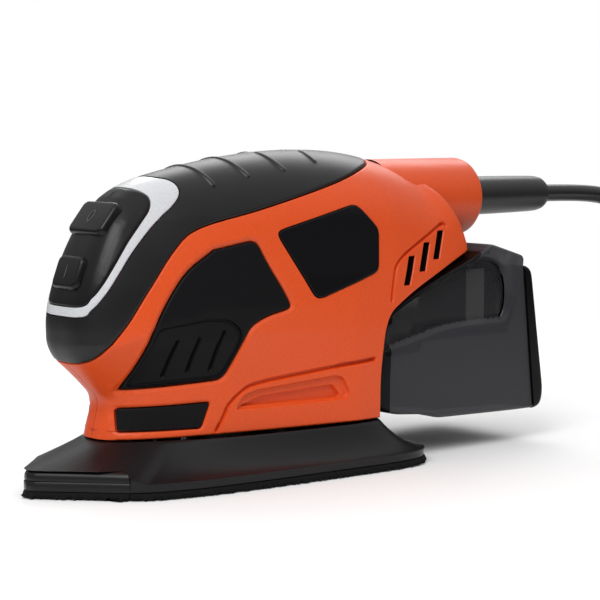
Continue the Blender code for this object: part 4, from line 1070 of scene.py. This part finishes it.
# ---- mains lead ----
CORD_DIAMETER = 7.0
CORD_PITCH = CORD_DIAMETER + 0.15
SLEEVE_END_X = 166.0
COIL_CENTRE = (304.0, -12.0)
COIL_RADIUS = 36.0
COIL_LOW_Z = CORD_DIAMETER / 2 + 1.1
STRAP_THICKNESS = 1.1
STRAP_HALF_WIDTH = 4.0
PLUG_LENGTH = 46.0
PLUG_Z = 7.2
PIN_OFFSET = 4.6
CORD_ROUTE = [(140, 0, 93.5), (158, 0, 93.5), (175, 0, 93.4), (192, 0, 92.8),
              (206, 0, 91.2), (219, -5, 87.3), (231, -14, 80.5), (242, -25, 70.5), (252, -37, 57.5),
              (261, -48, 42.5), (269, -56.6, 27.5), (277, -61.4, 14.5), (285, -62.7, 7.0),
              (294, -62.7, 4.6), (303.5, -62.6, 4.6)]
POINTS_PER_TURN = 24


def ring(centre, wide, tall, count, power=1.0):
    """Ring of points round a Y axis: an ellipse, or a rounded oblong where power is under 1."""
    turn = np.arange(count) * math.tau / count
    c, s = np.cos(turn), np.sin(turn)
    x, y, z = centre
    return np.column_stack([x + wide * np.sign(c) * np.abs(c) ** power, np.full(count, y),
                            z + tall * np.sign(s) * np.abs(s) ** power])


def smooth_step(value):
    value = min(1.0, max(0.0, value))
    return value * value * (3 - 2 * value)


def lead_path():
    """Whole lead from inside the sleeve, down to the floor, round the coil and into the plug."""
    middle = np.array(COIL_CENTRE)
    plug_x = COIL_CENTRE[0] + COIL_RADIUS + 1.5 * CORD_DIAMETER + 4.0
    outside = plug_x - COIL_CENTRE[0]
    wide, tight = COIL_RADIUS + CORD_PITCH, COIL_RADIUS - CORD_PITCH
    rows = [(wide, 0), (COIL_RADIUS, 0), (tight, 0), (tight, 1), (COIL_RADIUS, 1), (wide, 1),
            (COIL_RADIUS, 2)]
    path = [tuple(p) for p in curve(CORD_ROUTE, 4)[:-1]]
    for number, (radius, layer) in enumerate(rows):
        next_radius, next_layer = rows[min(number + 1, len(rows) - 1)]
        for k in range(POINTS_PER_TURN):
            turn = k / POINTS_PER_TURN
            late = smooth_step((turn - 0.75) / 0.25)
            r = radius + (next_radius - radius) * late
            z = COIL_LOW_Z + CORD_PITCH * (layer + (next_layer - layer) * late)
            if number == 0:
                r += (outside - radius) * (1 - smooth_step(turn / 0.25))
            if number == len(rows) - 1:
                r += (outside - radius) * smooth_step((turn - 0.6) / 0.4)
            angle = -math.pi / 2 + math.tau * turn
            path.append((*(middle + r * np.array([math.cos(angle), math.sin(angle)])), z))
    top = COIL_LOW_Z + 2 * CORD_PITCH
    for k in range(8):
        turn = k / 8
        angle = -math.pi / 2 + math.pi / 2 * turn
        z = top + (PLUG_Z - top) * smooth_step((turn - 0.05) / 0.9)
        path.append((*(middle + outside * np.array([math.cos(angle), math.sin(angle)])), z))
    path += [(plug_x, COIL_CENTRE[1], PLUG_Z), (plug_x, COIL_CENTRE[1] + 6, PLUG_Z)]
    return np.array(path), plug_x


def add_lead():
    profile = [(3.6, 116), (7.5, 116), (7.5, 134), (7.35, 148), (7.15, 159), (6.95, 162.2), (6.5, 164.3),
               (5.7, 165.6), (4.9, SLEEVE_END_X), (3.6, SLEEVE_END_X), (3.6, 116)]
    rings = [ring((0, x, BOSS_Z), radius, radius, 48)[:, (1, 0, 2)] for radius, x in profile]
    sleeve = face_outwards(add_mesh("cord_sleeve", *lofted(rings, cap=False), RUBBER))
    claim(sleeve, "body", "rubber", "strain_relief")
    path, plug_x = lead_path()
    data = bpy.data.curves.new("mains_lead", "CURVE")
    data.dimensions = "3D"
    data.bevel_depth = CORD_DIAMETER / 2 * MM
    data.bevel_resolution = 5
    data.use_fill_caps = True
    spline = data.splines.new("POLY")
    spline.points.add(len(path) - 1)
    for target, point in zip(spline.points, path * MM):
        target.co = (*point, 1)
    spline.use_smooth = True
    data.materials.append(JACKET)
    lead = linked("mains_lead", data)
    claim(lead, "body", "cord_jacket", "power_cord", "cord_coil")
    plug, pins = add_plug(plug_x)
    tie = add_tie()


def add_plug(x):
    """Flat two-pin plug with a ribbed tail."""
    start = COIL_CENTRE[1] + 2
    end = start + PLUG_LENGTH
    sections = [(0, 3.2, 3.2), (0.2, 4.2, 4.2), (3, 4.3, 4.3), (3.4, 3.8, 3.8), (4.6, 3.8, 3.8),
                (5, 4.4, 4.4), (8, 4.5, 4.5), (8.4, 4.0, 4.0), (9.6, 4.0, 4.0), (10, 4.6, 4.6),
                (14, 4.8, 4.8), (18, 5.6, 5.2), (22, 7.4, 6.0), (25, 8.4, 6.5), (30, 8.8, 6.8),
                (PLUG_LENGTH - 3, 8.8, 6.8), (PLUG_LENGTH - 1, 8.5, 6.5), (PLUG_LENGTH, 7.8, 5.8)]
    rings = [ring((x, start + along, PLUG_Z), wide, tall, 36, 1.0 if along < 18 else 0.6)
             for along, wide, tall in sections]
    plug = face_outwards(add_mesh("mains_plug", *lofted(rings), JACKET))
    claim(plug, "body", "cord_jacket", "plug_body")
    pins = []
    for node, offset in (("plug_pin_left", -PIN_OFFSET), ("plug_pin_right", PIN_OFFSET)):
        rings = [ring((x + offset, y, PLUG_Z), radius, radius, 20) for y, radius in
                 ((end - 5, 2.0), (end + 17.2, 2.0), (end + 18.3, 1.7), (end + 18.9, 1.1))]
        pin = face_outwards(add_mesh("mains_" + node, *lofted(rings), STEEL))
        claim(pin, "body", "steel", node)
        pins.append(pin)
    return plug, pins


def add_tie():
    """Strap round the coiled turns."""
    x, y = COIL_CENTRE
    reach = 1.5 * CORD_DIAMETER + 0.4
    centre = np.array([x - COIL_RADIUS, COIL_LOW_Z + CORD_PITCH])
    inner, outer = (round_corners([centre + (reach + grow) * np.array(corner) for corner in
                                   ((-1, -1), (1, -1), (1, 1), (-1, 1))], 4.0 + grow, 7)
                    for grow in (0.0, STRAP_THICKNESS))
    bands = [np.insert(loop, 1, y + side * STRAP_HALF_WIDTH, axis=1) for loop, side in
             ((inner, -1), (outer, -1), (outer, 1), (inner, 1), (inner, -1))]
    tie = face_outwards(weld(add_mesh("coil_strap", *lofted(bands, cap=False), RUBBER)))
    claim(tie, "body", "rubber", "cord_tie")
    return tie


# ---- inner pieces that keep their CAD shape ----
SLOT_FINISH = {"steel": STEEL, "copper_wire": COPPER, "lamination": LAMINATION, "inner_plastic": INNER,
               "carbon": RUBBER, "rubber": RUBBER, "filter_fabric": FELT, "black_plastic": BLACK,
               "hook_fabric": HOOK, "orange_shell": ORANGE, "soft_grip": GRIP, "silver_trim": SILVER,
               "smoke_plastic": SMOKE, "cord_jacket": JACKET}


def paint_inner_pieces():
    slots = {part["node"]: part["material_slot"] for part in frame["record"]["subparts"]}
    for name, node in frame["nodes"].items():
        if not node.hide_render:
            node.data.materials.clear()
            node.data.materials.append(SLOT_FINISH[slots[name]])


# ---- stage ----
def add_light(name, size, power, spot, aim):
    data = bpy.data.lights.new(name, "AREA")
    data.shape = "RECTANGLE"
    data.size, data.size_y = size
    data.energy = power
    light = linked(name, data)
    light.location = spot
    light.rotation_euler = (Vector(aim) - Vector(spot)).to_track_quat("-Z", "Y").to_euler()


CAMERA_SPOT = (-0.395, -0.5173, 0.124)
CAMERA_AZIMUTH = -40.0
CAMERA_PITCH = 5.6
CAMERA_LENS = 111.6
FLOOR_RADIUS = 0.45


def soft_sky(tree):
    """White backdrop that lights the object like a room: dim round the sides and brighter overhead."""
    background = tree.nodes["Background"]
    direction = add_node(tree, "TexCoord")
    height = add_node(tree, "SeparateXYZ")
    glow = add_node(tree, "MapRange", From_Min=0.0, From_Max=1.0, To_Min=0.1, To_Max=1.15)
    rays = add_node(tree, "LightPath")
    pick = add_node(tree, "Mix", B=1.0)
    for source, target in ((direction.outputs["Generated"], height.inputs["Vector"]),
                           (height.outputs["Z"], glow.inputs["Value"]),
                           (rays.outputs["Is Camera Ray"], pick.inputs["Factor"]),
                           (glow.outputs["Result"], pick.inputs["A"]),
                           (pick.outputs["Result"], background.inputs["Strength"])):
        tree.links.new(source, target)
    background.inputs["Color"].default_value = (1, 1, 1, 1)


def add_stage():
    scene = bpy.context.scene
    scene.view_settings.view_transform = "Standard"
    bpy.ops.mesh.primitive_circle_add(vertices=96, radius=FLOOR_RADIUS, fill_type="NGON",
                                      location=(0.1, 0, -0.0002))
    floor = bpy.context.object
    floor.name = "floor"
    paper = plastic("floor_paper", (0.93, 0.93, 0.93), 0.9, specular=0.1)
    floor.data.materials.append(paper)
    world = bpy.data.worlds.new("studio")
    world.use_nodes = True
    soft_sky(world.node_tree)
    scene.world = world
    add_light("key", (0.35, 0.35), 2.4, (-0.4, -0.3, 0.55), (-0.02, 0, 0.07))
    add_light("crown", (0.6, 0.3), 2.0, (0.5, 0.46, 0.53), (0.01, 0, 0.1))
    camera = bpy.data.cameras.new("camera")
    camera.lens = CAMERA_LENS
    camera.sensor_width = 36
    camera.clip_start = 0.01
    holder = linked("camera", camera)
    holder.location = CAMERA_SPOT
    holder.rotation_euler = (math.radians(90 - CAMERA_PITCH), 0, math.radians(CAMERA_AZIMUTH))
    scene.camera = holder


def main():
    add_housings()
    add_flank_pieces()
    add_grip()
    add_switch_panel()
    add_base()
    add_canister()
    add_lead()
    paint_inner_pieces()
    add_stage()


main()
